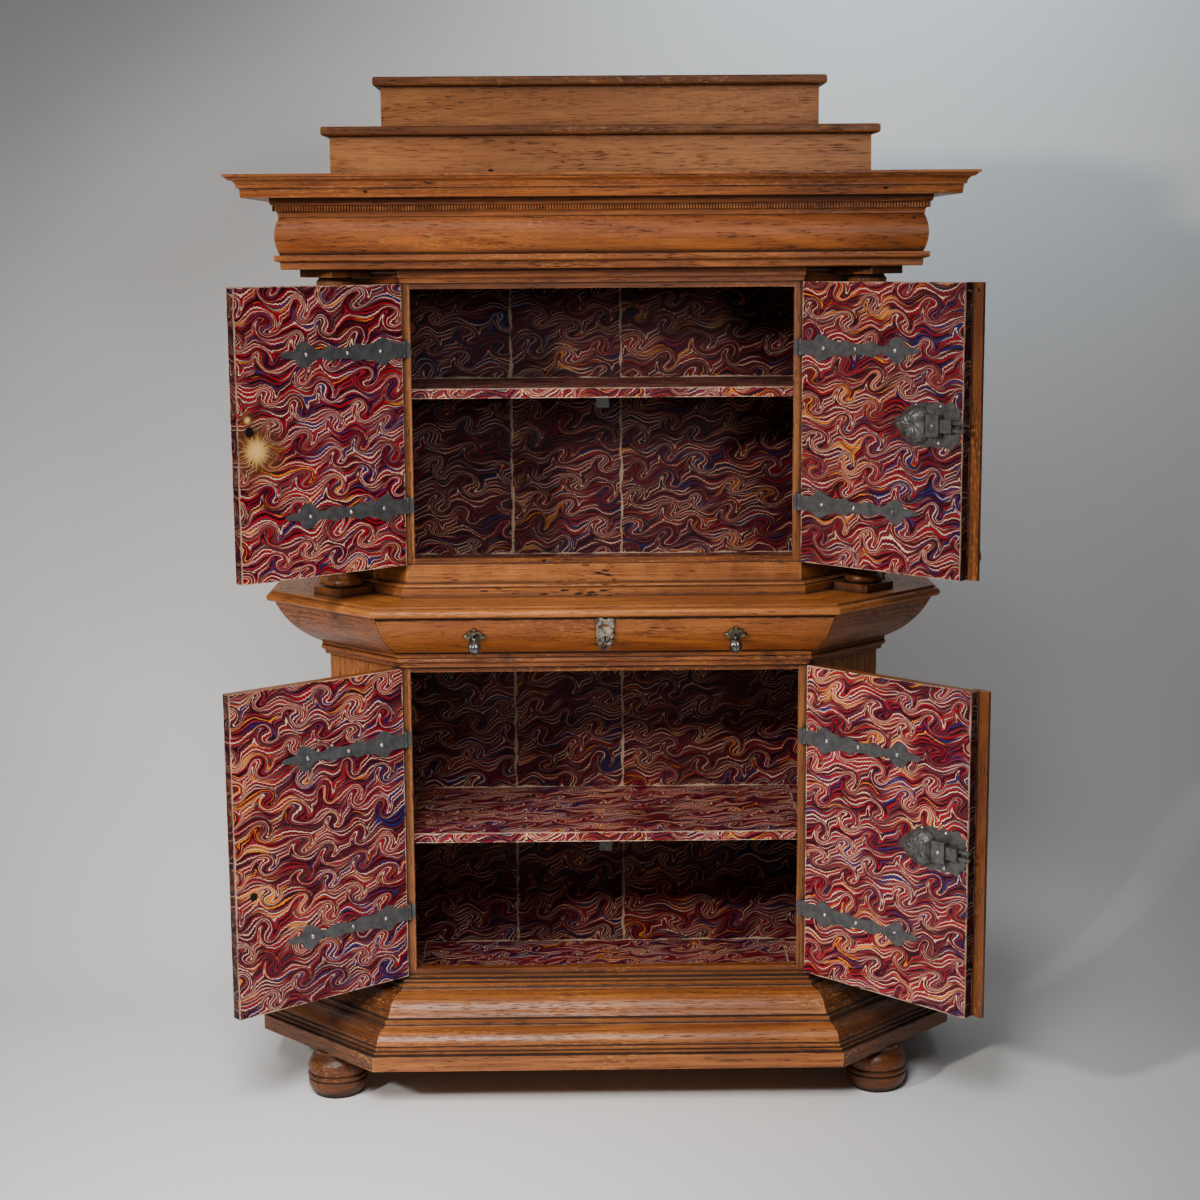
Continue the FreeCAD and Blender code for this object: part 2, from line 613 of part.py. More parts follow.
# Escutcheon: a lobed plate bent to the drawer's face, pierced for the key.
plate_half, plate_height = mm("escutcheon_half"), mm("escutcheon_height")
shell = Part.makeCylinder(face_radius + mm("escutcheon_plate"), 4 * plate_half,
                          Vector(-2 * plate_half, face_axis_y, face_axis_z), Vector(1, 0, 0))
shell = shell.cut(Part.makeCylinder(face_radius, 4 * plate_half,
                                    Vector(-2 * plate_half, face_axis_y, face_axis_z), Vector(1, 0, 0)))
plate_point, plate_lean = on_face(0, mm("flare_height") / 2, 0)
plate_outline = [
    (-plate_half * 0.45, -plate_height * 0.30), (plate_half * 0.45, -plate_height * 0.30, plate_height * 0.2),
    (plate_half, -plate_height * 0.1, 3), (plate_half * 0.7, plate_height * 0.08, 1),
    (plate_half, plate_height * 0.26, 2), (plate_half * 0.5, plate_height * 0.38, 3),
    (-plate_half * 0.5, plate_height * 0.38, plate_height * 0.12), (-plate_half, plate_height * 0.26, 3),
    (-plate_half * 0.7, plate_height * 0.08, 2), (-plate_half, -plate_height * 0.1, 1),
]
plate_face = Part.Face(Part.Wire([stroke.toShape() for stroke in strokes(plate_outline)]))
key_face = Part.Face(Part.Wire([stroke.toShape() for stroke in strokes(
    [(-1.6, -9), (1.6, -9), (1.6, 2), (-1.6, 2, 6)])]))
facing = Rotation(Vector(1, 0, 0), 90 + math.degrees(-plate_lean))
punch = plate_face.cut(key_face)
punch.Placement = Placement(plate_point, facing)
punch = punch.extrude(facing.multVec(UP) * 60).fuse(punch.extrude(facing.multVec(UP) * -60)).removeSplitter()
escutcheon = doc.addObject("Part::Feature", "drawer_escutcheon")
escutcheon.Shape = shell.common(punch).Solids[0]
keep(escutcheon)

# Drop pulls: a four-pointed rosette with two cheeks and a pin on the drawer, and a ball that
# swings on it.
rosette_outline = []
for quarter in range(4):
    for degrees, radius in ((-20, mm("pull_lobe")), (0, mm("pull_rosette")), (20, mm("pull_lobe"))):
        angle = math.radians(90 * quarter + degrees)
        rosette_outline.append((radius * math.cos(angle), radius * math.sin(angle)))
    rosette_outline[-3] += (4,)
rosette_face = Part.Face(Part.Wire([stroke.toShape() for stroke in strokes(rosette_outline)]))
mounts = []
for hand, sign in (("left", -1), ("right", 1)):
    seat, lean = on_face(sign * mm("pull_x"), mm("pull_rise"), 0)
    facing = Rotation(Vector(1, 0, 0), 90 + math.degrees(-lean))
    out = facing.multVec(UP)
    eye = seat + out * (mm("pull_plate") + mm("pull_standoff"))
    solid = rosette_face.copy()
    solid.Placement = Placement(seat, facing)
    solid = solid.extrude(out * mm("pull_plate"))
    side_way = Vector(1, 0, 0)
    for cheek_x in (-4.5, 2.5):
        cheek = Part.makeBox(2, 4, mm("pull_standoff") + 3)
        cheek.Placement = Placement(seat + side_way * cheek_x + out * (mm("pull_plate") - 1),
                                    facing).multiply(flat(0, -2, 0))
        solid = solid.fuse(cheek)
    solid = solid.fuse(Part.makeCylinder(1.5, 9, eye - side_way * 4.5, side_way))
    mounts.append(solid.removeSplitter().Solids[0])
    ring = Part.makeCylinder(3.6, 4, eye - side_way * 2, side_way)
    hole = Part.makeCylinder(1.5 + mm("pin_clearance"), 4, eye - side_way * 2, side_way)
    stem = Part.makeCylinder(2, mm("drop_length") - 2, eye - UP * (mm("drop_length")))
    ball = Part.makeSphere(mm("drop_radius"), eye - UP * (mm("drop_length") + mm("drop_radius") - 3))
    finial = Part.makeCylinder(3, 4, eye - UP * (mm("drop_length") + 2 * mm("drop_radius") - 0.5))
    drop = doc.addObject("Part::Feature", f"{hand}_drop")
    drop.Shape = ring.fuse([stem, ball, finial]).cut(hole).removeSplitter().Solids[0]
    keep(drop)
lengths("pull_mounts", mounts)

# Doors: each is drawn closed, then swung about its hinge to where it stands open.
DOORS = {
    "upper_left": -1, "upper_right": 1, "lower_left": -1, "lower_right": 1,
}


def hinge_point(door):
    """Plan place of a door's hinge axis."""
    case = door.split("_")[0]
    x = mm(f"{case}_corner") - mm("pivot_inset")
    return Vector(DOORS[door] * x, mm(f"{case}_y") - mm("pivot_reach"))


def swing(door):
    """Turn of a door from closed to where it stands."""
    return Placement(Vector(), Rotation(UP, DOORS[door] * mm(f"{door}_open")), hinge_point(door))


def mirrored_edge(edge):
    """The other edge of an outline that is the same above and below, back to its start."""
    back = []
    for index in range(len(edge) - 1, -1, -1):
        swells = edge[index + 1][2:] if index + 1 < len(edge) else ()
        back.append((edge[index][0], -edge[index][1]) + tuple(swells))
    return back


def ring_at(low, high, shrink, height):
    """One level of a field's bevelled edge: a rectangle drawn in on all sides."""
    step = Vector(shrink, shrink)
    near, far = low + step, high - step
    corners = [Vector(x, y, height) for x, y in (
        (near.x, near.y), (far.x, near.y), (far.x, far.y), (near.x, far.y))]
    return Part.makePolygon(corners + corners[:1])


# Lower edge of a strap: shares of its length from the hinge edge, and millimetres off its
# middle line. A plain end, a lozenge, a waved band, a neck, a round rosette and a spear tip.
STRAP_EDGE = [
    (0, -14.5), (0.104, -15), (0.118, -20), (0.153, -27, 1.5), (0.174, -27, 0.5), (0.215, -22),
    (0.27, -16, -1), (0.33, -13), (0.368, -16, 0.5), (0.406, -16, 1), (0.427, -11.5),
    (0.542, -11, -0.5), (0.587, -14), (0.618, -14, 1), (0.653, -9.5), (0.68, -7), (0.733, -10.5, -0.5),
    (0.757, -16), (0.785, -22), (0.83, -25, 1), (0.872, -17, 1.5), (0.885, -8.5), (0.982, -5), (1, 0),
]
strap_edge = [(point[0] * mm("strap_length"),) + point[1:] for point in STRAP_EDGE]
strap_outline = strap_edge + mirrored_edge(strap_edge[:-1])
nail_places = [share * mm("strap_length") for share in (0.186, 0.462, 0.796)]
leaves, pins = [], []
for door, sign in DOORS.items():
    name, hand = door.split("_")
    case = CASES[name]
    pose = swing(door)
    edge_x = mm(f"{name}_corner") - mm("pivot_inset") - mm("hinge_edge")
    front = mm(f"{name}_y")
    inner_y = front - mm("door_standoff")
    outer_y = inner_y - mm("door_thickness")
    low_z = mm("plinth_top" if name == "lower" else "upper_sill") + mm("door_gap")
    high_z = mm("waist_base" if name == "lower" else "head_base") - mm("door_gap")

    # leaf: one broad board
    across = handed(sign, f"{case['corner']} - size.pivot_inset - size.hinge_edge", "size.meeting_gap / 2")
    inner = f"{case['front']} - size.door_standoff"
    leaf = board(f"{door}_leaf", across, (f"{inner} - size.door_thickness", inner),
                 (f"{case['sill']} + size.door_gap", f"{case['head']} - size.door_gap"))
    group(f"{door}_door", [leaf], pose)

    # outer face: a mitred moulding frame round a raised field with bevelled edges
    inset, width = mm("frame_inset"), mm("frame_width")
    stand = Placement(Vector(0, outer_y, 0), Rotation(Vector(1, 0, 0), 90))
    x_low, x_high = inset, edge_x - inset
    z_low, z_high = low_z + inset, high_z - inset
    loop = [(x_low, z_low), (x_low, z_high), (x_high, z_high), (x_high, z_low)]
    if sign < 0:
        loop = [(-x, z) for x, z in reversed(loop)]
    rise = mm("frame_rise")
    frame = doc.addObject("Part::Feature", f"{door}_frame")
    frame.Shape = Part.Compound(moulding(loop, [
        (0, 0), (width, 0), (width, 4), (width - 8, rise - 3, 2), (width - 14, rise),
        (6, rise), (0, 5, 3),
    ], 0, closed=True))
    frame.Placement = stand
    bevel = mm("field_bevel")
    field_low = Vector(min(sign * x_low, sign * x_high) + width, z_low + width)
    field_high = Vector(max(sign * x_low, sign * x_high) - width, z_high - width)

    field = doc.addObject("Part::Feature", f"{door}_field")
    field.Shape = Part.makeLoft([
        ring_at(field_low, field_high, 0.5, 0), ring_at(field_low, field_high, 0.5, 3),
        ring_at(field_low, field_high, bevel, mm("field_rise")),
    ], True, True)
    field.Placement = stand
    group(f"{door}_door_panel", [frame, field], pose)

    # strap hinges: a strap nailed across the inner face, turning on a pin between two knuckles
    # of a leaf let into the wall's front edge
    members = []
    pivot = hinge_point(door)
    for rise_name in HINGE_RISES:
        middle = mm(f"{name}_hinge_{rise_name}")
        tag = f"{door}_{rise_name}"
        outline = [(sign * (edge_x - point[0]), point[1]) + tuple(-sign * swell for swell in point[2:])
                   for point in strap_outline]
        plate = slab(f"{tag}_plate", outline, "size.strap",
                     Placement(Vector(0, inner_y + mm("strap"), middle), Rotation(Vector(1, 0, 0), 90)))
        half_barrel = "size.barrel_height / 2"
        centre = f"level.{name}_hinge_{rise_name}"
        z_range = (f"{centre} - {half_barrel}", f"{centre} + {half_barrel}")
        pivot_x = f"{case['corner']} - size.pivot_inset"
        neck_x = handed(sign, pivot_x, f"{pivot_x} - size.hinge_edge - 1")
        link = board(f"{tag}_neck", neck_x, (inner, f"{inner} + size.strap"), z_range)
        barrel = rod(f"{tag}_barrel", "size.barrel_radius", "size.barrel_height",
                     pivot + UP * (middle - mm("barrel_height") / 2))
        solid = fuse(f"{tag}_strap_blank", [plate, link, barrel])
        bore = rod(f"{tag}_bore", "size.pin_radius + size.pin_clearance", "size.barrel_height + 2",
                   pivot + UP * (middle - mm("barrel_height") / 2 - 1))
        members.append(cut(f"{tag}_strap", solid, bore))
        for index, place in enumerate(nail_places):
            nail = doc.addObject("Part::Sphere", f"{tag}_nail_{index + 1}")
            nail.setExpression("Radius", "size.nail_radius")
            nail.Angle1 = 35
            sink = mm("nail_radius") * math.sin(math.radians(35))
            nail.Placement = Placement(Vector(sign * (edge_x - place), inner_y + mm("strap") - sink, middle),
                                       Rotation(Vector(1, 0, 0), -90))
            members.append(nail)
        rest = middle - mm("barrel_height") / 2 - mm("barrel_gap") - mm("knuckle_height")
        top = middle + mm("barrel_height") / 2 + mm("barrel_gap")
        plate_x = handed(sign, f"{pivot_x} + size.barrel_radius", f"{case['corner']} - size.stile_face")
        spread = "size.barrel_height / 2 + size.barrel_gap + size.knuckle_height"
        pieces = [board(f"{tag}_leaf_plate", plate_x, (case["front"], f"{case['front']} + size.leaf"),
                        (f"{centre} - ({spread})", f"{centre} + {spread}"))]
        for level_name, base in (("under", rest), ("over", top)):
            pieces.append(rod(f"{tag}_knuckle_{level_name}", "size.barrel_radius", "size.knuckle_height",
                              pivot + UP * base))
            web = doc.addObject("Part::Box", f"{tag}_web_{level_name}")
            web.setExpression("Length", "2 * size.barrel_radius")
            web.setExpression("Width", "size.pivot_reach + size.leaf / 2")
            web.setExpression("Height", "size.knuckle_height")
            web.Placement = flat(pivot.x - mm("barrel_radius"), pivot.y, base)
            pieces.append(web)
        blank = fuse(f"{tag}_leaf_blank", pieces)
        leaf_bore = rod(f"{tag}_leaf_bore", "size.pin_radius + size.pin_clearance",
                        f"2 * ({spread}) + 2", pivot + UP * (rest - 1))
        leaves.append(cut(f"{tag}_frame_leaf", blank, leaf_bore))
        shank = rod(f"{tag}_shank", "size.pin_radius", f"2 * ({spread})", pivot + UP * rest)
        head = rod(f"{tag}_pin_head", "size.barrel_radius - 1", "size.leaf",
                   pivot + UP * (top + mm("knuckle_height")))
        pins.append(fuse(f"{tag}_pin", [shank, head]))
    group(f"{door}_straps", members, pose)
group("hinge_leaves", leaves)
group("hinge_pins", pins)

# Right-hand doors: an astragal that covers the meeting line, and a box lock with a sliding
# double bolt at the free edge.
for name, case in CASES.items():
    door = f"{name}_right"
    pose = swing(door)
    front = mm(f"{name}_y")
    inner_y = front - mm("door_standoff")
    outer_y = inner_y - mm("door_thickness")
    free_x = mm("meeting_gap") / 2
    low_z = mm("plinth_top" if name == "lower" else "upper_sill") + mm("door_gap")
    tall = f"{case['head']} - {case['sill']} - 2 * size.door_gap"
    lap, seat, rise = mm("astragal_lap"), mm("astragal_seat"), mm("astragal_rise")
    strip = slab(f"{door}_astragal_strip", [
        (-lap, outer_y - 0.6), (-lap, outer_y - rise + 5), (seat, outer_y - rise + 5, 5), (seat, outer_y),
        (free_x, outer_y), (free_x, outer_y - 0.6),
    ], tall, flat(0, 0, low_z))
    astragal = [strip]
    if name == "upper":
        foot, crown = mm("corbel_foot"), mm("corbel_foot") + mm("corbel_height")
        ridge = outer_y - rise + 1
        corbel = slab(f"{door}_corbel", [
            (ridge, foot), (ridge - mm("corbel_reach"), foot + 4), (ridge - mm("corbel_reach"), foot + 12),
            (ridge, crown, 2),
        ], "size.astragal_lap", Placement(Vector(-lap * 0.65, 0, low_z), Rotation(Vector(1, 1, 1), 120)))
        astragal = [fuse(f"{door}_corbelled_strip", [strip, corbel])]
    group(f"{door}_astragal", astragal, pose)

    centre = f"level.{name}_lock"
    half, tip = mm("lock_half"), free_x + mm("lock_reach")
    plate_edge = [
        (free_x + 5, -half + 10), (free_x + 16, -half + 10), (free_x + 18, -half + 2),
        (free_x + 32, -half, 2.5), (free_x + 46, -half + 2, -1), (free_x + 60, -half, 2.5),
        (free_x + 74, -half + 3, -1), (free_x + 92, -half, 3), (free_x + 108, -half + 3, -1),
        (free_x + 124, -half * 0.76, 2), (free_x + 140, -half * 0.46, -1), (tip - 12, -half * 0.25, 1),
        (tip, 0),
    ]
    plate = slab(f"{door}_lock_plate", plate_edge + mirrored_edge(plate_edge[:-1]), "size.lock_plate",
                 Placement(Vector(0, inner_y + mm("lock_plate"), mm(f"{name}_lock")),
                           Rotation(Vector(1, 0, 0), 90)))

    # lock case: a nose and a box over the bolt, open towards the door, and a domed leaf
    floor_y = f"{case['front']} - size.door_standoff + size.lock_plate"
    edge = "size.meeting_gap / 2"
    shells, hollows = [], []
    for part, first, last in (("nose", "nose_start", "box_start + 1"), ("box", "box_start", "box_end")):
        ends = (f"{edge} + size.{first}", f"{edge} + size.{last}")
        tall = handed(0, f"size.{part}_half")
        shells.append(board(f"{door}_lock_{part}", ends, (floor_y, f"{floor_y} + size.{part}_height"),
                            [f"{centre} + ({limit})" for limit in tall]))
        inside_tall = handed(0, f"size.{part}_half - size.lock_shell")
        near = "- 1" if part == "nose" else "+ size.lock_shell"
        hollows.append(board(f"{door}_lock_{part}_room",
                             (f"{ends[0]} {near}", f"{ends[1]} - size.lock_shell"),
                             (f"{floor_y} - 1", f"{floor_y} + size.{part}_height - size.lock_shell"),
                             [f"{centre} + ({limit})" for limit in inside_tall]))
    throat = handed(0, "size.nose_half - size.lock_shell")
    hollows.append(board(f"{door}_lock_throat",
                         (f"{edge} + size.box_start - 2", f"{edge} + size.box_start + 2"),
                         (f"{floor_y} - 1", f"{floor_y} + size.nose_height - size.lock_shell"),
                         [f"{centre} + ({limit})" for limit in throat]))
    cover = cut(f"{door}_lock_cover", fuse(f"{door}_lock_case", shells), fuse(f"{door}_lock_room", hollows))
    dome_rings = []
    for share, height in ((1, 0), (0.97, 0.35), (0.86, 0.7), (0.62, 0.95), (0.4, 1)):
        dome_start, dome_end = free_x + mm("dome_start"), free_x + mm("dome_end")
        ring_half, ring_length = mm("dome_half") * share, (dome_end - dome_start) * share
        dome_start += (1 - share) * (dome_end - dome_start) * 0.35
        leaf_edge = [
            (dome_start, -ring_half * 0.6), (dome_start + ring_length * 0.28, -ring_half, ring_half * 0.08),
            (dome_start + ring_length * 0.72, -ring_half * 0.55, ring_half * 0.12),
            (dome_start + ring_length, 0, -ring_half * 0.05),
        ]
        ring = Part.Wire([stroke.toShape() for stroke in strokes(leaf_edge + mirrored_edge(leaf_edge[:-1]))])
        ring.translate(UP * mm("dome_height") * height)
        dome_rings.append(ring)
    dome = doc.addObject("Part::Feature", f"{door}_lock_dome")
    dome.Shape = Part.makeLoft(dome_rings, True, True)
    dome.Placement = Placement(Vector(0, inner_y + mm("lock_plate"), mm(f"{name}_lock")),
                               Rotation(Vector(1, 0, 0), -90))
    group(f"{door}_lock", [plate, cover, dome], pose)

    # double bolt: a tail inside the case and two prongs, drawn thrown past the free edge
    deep = (f"{floor_y} + size.bolt_gap", f"{floor_y} + size.bolt_gap + size.bolt_thickness")
    join = f"{edge} + size.nose_start + 1"
    tail = board(f"{door}_bolt_tail", (join, f"{join} + size.bolt_tail"), deep,
                 [f"{centre} + ({limit})" for limit in handed(0, "size.bolt_half")])
    prongs = []
    for prong, sign in (("under", -1), ("over", 1)):
        tall = handed(sign, "size.bolt_half", "size.bolt_half - size.bolt_prong")
        prongs.append(board(f"{door}_prong_{prong}", (f"{edge} - size.bolt_out", f"{join} + 1"), deep,
                            [f"{centre} + ({limit})" for limit in tall]))
    group(f"{door}_bolt", [fuse(f"{door}_double_bolt", [tail] + prongs)], pose)

doc.recompute()
for item in doc.Objects:
    if "Invalid" in item.State or "Error" in item.State:
        raise RuntimeError(f"{item.Label} failed: {item.State}")
for node in nodes:
    if node.Shape.isNull() or not node.Shape.isValid():
        raise RuntimeError(f"{node.Label} has no valid shape")
for node in nodes:
    node.Shape.exportStep(f"parts/{node.Label}.step")
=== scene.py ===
import json
import math
import random

import bpy
from mathutils import Matrix, Vector


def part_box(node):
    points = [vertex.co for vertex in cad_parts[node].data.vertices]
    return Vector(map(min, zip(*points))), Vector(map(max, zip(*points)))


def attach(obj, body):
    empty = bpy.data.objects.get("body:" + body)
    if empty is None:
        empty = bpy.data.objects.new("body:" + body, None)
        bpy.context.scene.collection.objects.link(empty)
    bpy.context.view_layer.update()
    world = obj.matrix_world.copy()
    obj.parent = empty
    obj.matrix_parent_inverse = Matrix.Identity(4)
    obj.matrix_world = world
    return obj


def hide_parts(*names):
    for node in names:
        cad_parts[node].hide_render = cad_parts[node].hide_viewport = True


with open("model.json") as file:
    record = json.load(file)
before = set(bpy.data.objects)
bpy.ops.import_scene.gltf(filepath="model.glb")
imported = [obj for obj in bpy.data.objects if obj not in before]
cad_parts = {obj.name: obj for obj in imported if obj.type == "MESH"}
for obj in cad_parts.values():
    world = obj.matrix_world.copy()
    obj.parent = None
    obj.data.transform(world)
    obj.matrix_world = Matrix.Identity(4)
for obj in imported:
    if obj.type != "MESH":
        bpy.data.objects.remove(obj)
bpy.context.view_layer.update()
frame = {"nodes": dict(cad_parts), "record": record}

# Camera and room. The cabinet is seen from the front, a little left of its middle and from
# above its waist. The room is plain pale paper, bent up into a wall that is clear from its back,
# with one light from the left and soft light all round.
CAMERA_PLACE = Vector((-0.0536, -4.3415, 1.7341))
CAMERA_PITCH, CAMERA_YAW, CAMERA_ROLL = (math.radians(angle) for angle in (-9.3, 0.6, -0.4))
IMAGE_SIDE, FOCAL_PIXELS, SENSOR = 1200, 2142.8, 36.0

camera = bpy.data.objects.new("camera", bpy.data.cameras.new("camera"))
bpy.context.collection.objects.link(camera)
camera.data.sensor_width = SENSOR
camera.data.lens = FOCAL_PIXELS / IMAGE_SIDE * SENSOR
camera.matrix_world = (Matrix.Translation(CAMERA_PLACE) @ Matrix.Rotation(-CAMERA_YAW, 4, "Z")
                       @ Matrix.Rotation(math.pi / 2 + CAMERA_PITCH, 4, "X")
                       @ Matrix.Rotation(CAMERA_ROLL, 4, "Z"))
bpy.context.scene.camera = camera


def mesh_object(name, points, faces, material=None, smooth=False):
    """A mesh object at the origin with its place in its points."""
    mesh = bpy.data.meshes.new(name)
    mesh.from_pydata([tuple(point) for point in points], [], faces)
    mesh.update()
    if smooth:
        mesh.shade_smooth()
    if material:
        mesh.materials.append(material)
    made = bpy.data.objects.new(name, mesh)
    bpy.context.collection.objects.link(made)
    return made


class Graph:
    """Short words for building one node tree."""

    def __init__(self, tree):
        self.tree = tree

    def node(self, kind, **settings):
        made = self.tree.nodes.new(kind)
        for name, value in settings.items():
            setattr(made, name, value)
        return made

    def feed(self, socket, value):
        if isinstance(value, bpy.types.NodeSocket):
            self.tree.links.new(value, socket)
        else:
            socket.default_value = value

    def put(self, node, **values):
        """Feeds a node's sockets by name, an underscore standing for a space."""
        for name, value in values.items():
            self.feed(node.inputs[name.replace("_", " ")], value)
        return node

    def place(self, kind="Object"):
        return self.node("ShaderNodeTexCoord").outputs[kind]

    def _filled(self, made, values):
        for socket, value in zip(made.inputs, values):
            self.feed(socket, value)
        return made

    def math(self, operation, *values):
        return self._filled(self.node("ShaderNodeMath", operation=operation), values).outputs[0]

    def times(self, first, second):
        return self.math("MULTIPLY", first, second)

    def linear(self, value, scale, start):
        return self.math("MULTIPLY_ADD", value, scale, start)

    def vector_math(self, operation, *values):
        made = self._filled(self.node("ShaderNodeVectorMath", operation=operation), values)
        return made.outputs["Value" if operation == "LENGTH" else "Vector"]

    def scaled(self, vector, scale):
        return self.vector_math("MULTIPLY", vector, scale)

    def split(self, vector):
        return self._filled(self.node("ShaderNodeSeparateXYZ"), [vector]).outputs

    def join(self, *values):
        return self._filled(self.node("ShaderNodeCombineXYZ"), values).outputs[0]

    def noise(self, vector, scale, detail=2.0, roughness=0.5, output="Fac", dimensions="3D"):
        made = self.node("ShaderNodeTexNoise", noise_dimensions=dimensions)
        self.feed(made.inputs["W" if dimensions == "1D" else "Vector"], vector)
        return self.put(made, Scale=scale, Detail=detail, Roughness=roughness).outputs[output]

    def step(self, value, low, high):
        """Rises smoothly from nought at one value to one at the other."""
        made = self.node("ShaderNodeMapRange", interpolation_type="SMOOTHSTEP")
        return self._filled(made, (value, low, high)).outputs["Result"]

    def blend(self, factor, first, second, mode="MIX"):
        made = self.node("ShaderNodeMix", data_type="RGBA", blend_type=mode)
        self.feed(made.inputs[0], factor)
        for place, value in ((6, first), (7, second)):
            self.feed(made.inputs[place], (*value, 1) if isinstance(value, tuple) else value)
        return made.outputs[2]

    def choose(self, factor, first, second):
        """One of two vectors."""
        made = self.node("ShaderNodeMix", data_type="VECTOR")
        for place, value in ((0, factor), (4, first), (5, second)):
            self.feed(made.inputs[place], value)
        return made.outputs[1]

    def open_air(self, reach, samples=5, inside=False):
        """How free a surface lies: one where nothing stands within reach."""
        made = self.node("ShaderNodeAmbientOcclusion", samples=samples, inside=inside)
        return self.put(made, Distance=reach).outputs["AO"]

    def relief(self, shader, strength, depth, height):
        """Feeds a small relief to the shader's normal."""
        bump = self.put(self.node("ShaderNodeBump"), Strength=strength, Distance=depth, Height=height)
        self.put(shader, Normal=bump.outputs["Normal"])


def new_finish(name):
    """A new material, its graph and its shader."""
    material = bpy.data.materials.new(name)
    material.use_nodes = True
    return material, Graph(material.node_tree), material.node_tree.nodes["Principled BSDF"]


ROOM_HALF, ROOM_FRONT, ROOM_BACK, ROOM_HEIGHT = 7.0, -8.0, 1.15, 5.5
ROOM_BEND, BEND_STEPS = 0.7, 16
ROOM_GREY, ROOM_ROUGH = (0.86, 0.86, 0.86, 1), 0.9
profile = [(ROOM_FRONT, 0.0)]
for step in range(BEND_STEPS + 1):
    angle = math.radians(90 * step / BEND_STEPS)
    profile.append((ROOM_BACK - ROOM_BEND + ROOM_BEND * math.sin(angle),
                    ROOM_BEND - ROOM_BEND * math.cos(angle)))
profile.append((ROOM_BACK, ROOM_HEIGHT))
room_paper, g, shader = new_finish("studio paper")
from_behind = g.node("ShaderNodeNewGeometry").outputs["Backfacing"]
g.put(shader, Base_Color=ROOM_GREY, Roughness=ROOM_ROUGH, Alpha=g.math("SUBTRACT", 1, from_behind))
room_points = [(side * ROOM_HALF, y, z) for y, z in profile for side in (-1, 1)]
room_faces = [(2 * i, 2 * i + 1, 2 * i + 3, 2 * i + 2) for i in range(len(profile) - 1)]
room = mesh_object("studio_floor", room_points, room_faces, room_paper, smooth=True)


def studio_light(name, place, target, size, power, colour=(1, 1, 1), spread=180):
    """A square soft light aimed at a point."""
    lamp = bpy.data.objects.new(name, bpy.data.lights.new(name, "AREA"))
    lamp.data.shape = "SQUARE"
    lamp.data.size = size
    lamp.data.energy = power
    lamp.data.color = colour
    lamp.data.spread = math.radians(spread)
    lamp.location = place
    lamp.rotation_euler = (Vector(target) - Vector(place)).to_track_quat("-Z", "Y").to_euler()
    bpy.context.collection.objects.link(lamp)


studio_light("key light", (-2.8, -3.2, 2.62), (0.3, 0.3, 0.9), 0.3, 12.5, (1, 0.95, 0.88), spread=52)
studio_light("top light", (0.3, -2.3, 4.3), (0, -0.2, 0.9), 1.9, 22, (1, 0.985, 0.96))
studio_light("floor light", (-0.6, -3.2, 3.0), (-0.6, -0.9, 0.0), 1.2, 27, (1, 0.985, 0.965), spread=60)
studio_light("front light", (1.2, -3.6, 2.2), (-0.1, 0.0, 1.6), 1.0, 1.7, spread=30)
studio_light("wall light", (0.3, -0.4, 4.3), (0.45, 1.15, 2.6), 0.8, 5.6, (0.78, 0.9, 1), spread=50)
studio_light("right wall light", (0.9, -0.6, 4.2), (1.2, 1.15, 2.8), 0.9, 4.2, (0.78, 0.9, 1),
             spread=50)
studio_light("right fill", (2.4, -1.2, 1.6), (1.5, 1.1, 1.0), 0.9, 0.55, (1, 0.96, 0.92), spread=60)
studio_light("left wall light", (-2.6, -1.6, 1.6), (-1.2, 1.0, 0.7), 0.9, 3.0, spread=60)
world = bpy.data.worlds.new("studio air")
world.use_nodes = True
air = world.node_tree.nodes["Background"].inputs
air["Color"].default_value = (0.9, 0.94, 1.0, 1)
air["Strength"].default_value = 0.02
bpy.context.scene.world = world


# Bun feet. Turned from solid oak with two lines cut round the belly, waxed dark, and pegged up
# into the plinth. The oak made here is the oak of the whole case.
SOCKETS = {"vector": "NodeSocketVector", "value": "NodeSocketFloat", "colour": "NodeSocketColor",
           "geometry": "NodeSocketGeometry", "count": "NodeSocketInt", "material": "NodeSocketMaterial"}


def new_tree(name, inputs, outputs, kind="ShaderNodeTree"):
    """An empty tree with its named sockets, its graph and its two ends."""
    tree = bpy.data.node_groups.new(name, kind)
    for in_out, sockets in (("INPUT", inputs), ("OUTPUT", outputs)):
        for label, socket in sockets:
            tree.interface.new_socket(label, in_out=in_out, socket_type=SOCKETS[socket])
    g = Graph(tree)
    return tree, g, g.node("NodeGroupInput").outputs, g.node("NodeGroupOutput").inputs


FLECK_PALE, EDGE_PALE = (0.62, 0.25, 0.06), (0.60, 0.24, 0.07)
PORE_DARK, HOLLOW_PAINTED_SHADE, HOLE_DARK = (0.018, 0.006, 0.003), (0.012, 0.005, 0.003), (0.008, 0.004, 0.003)


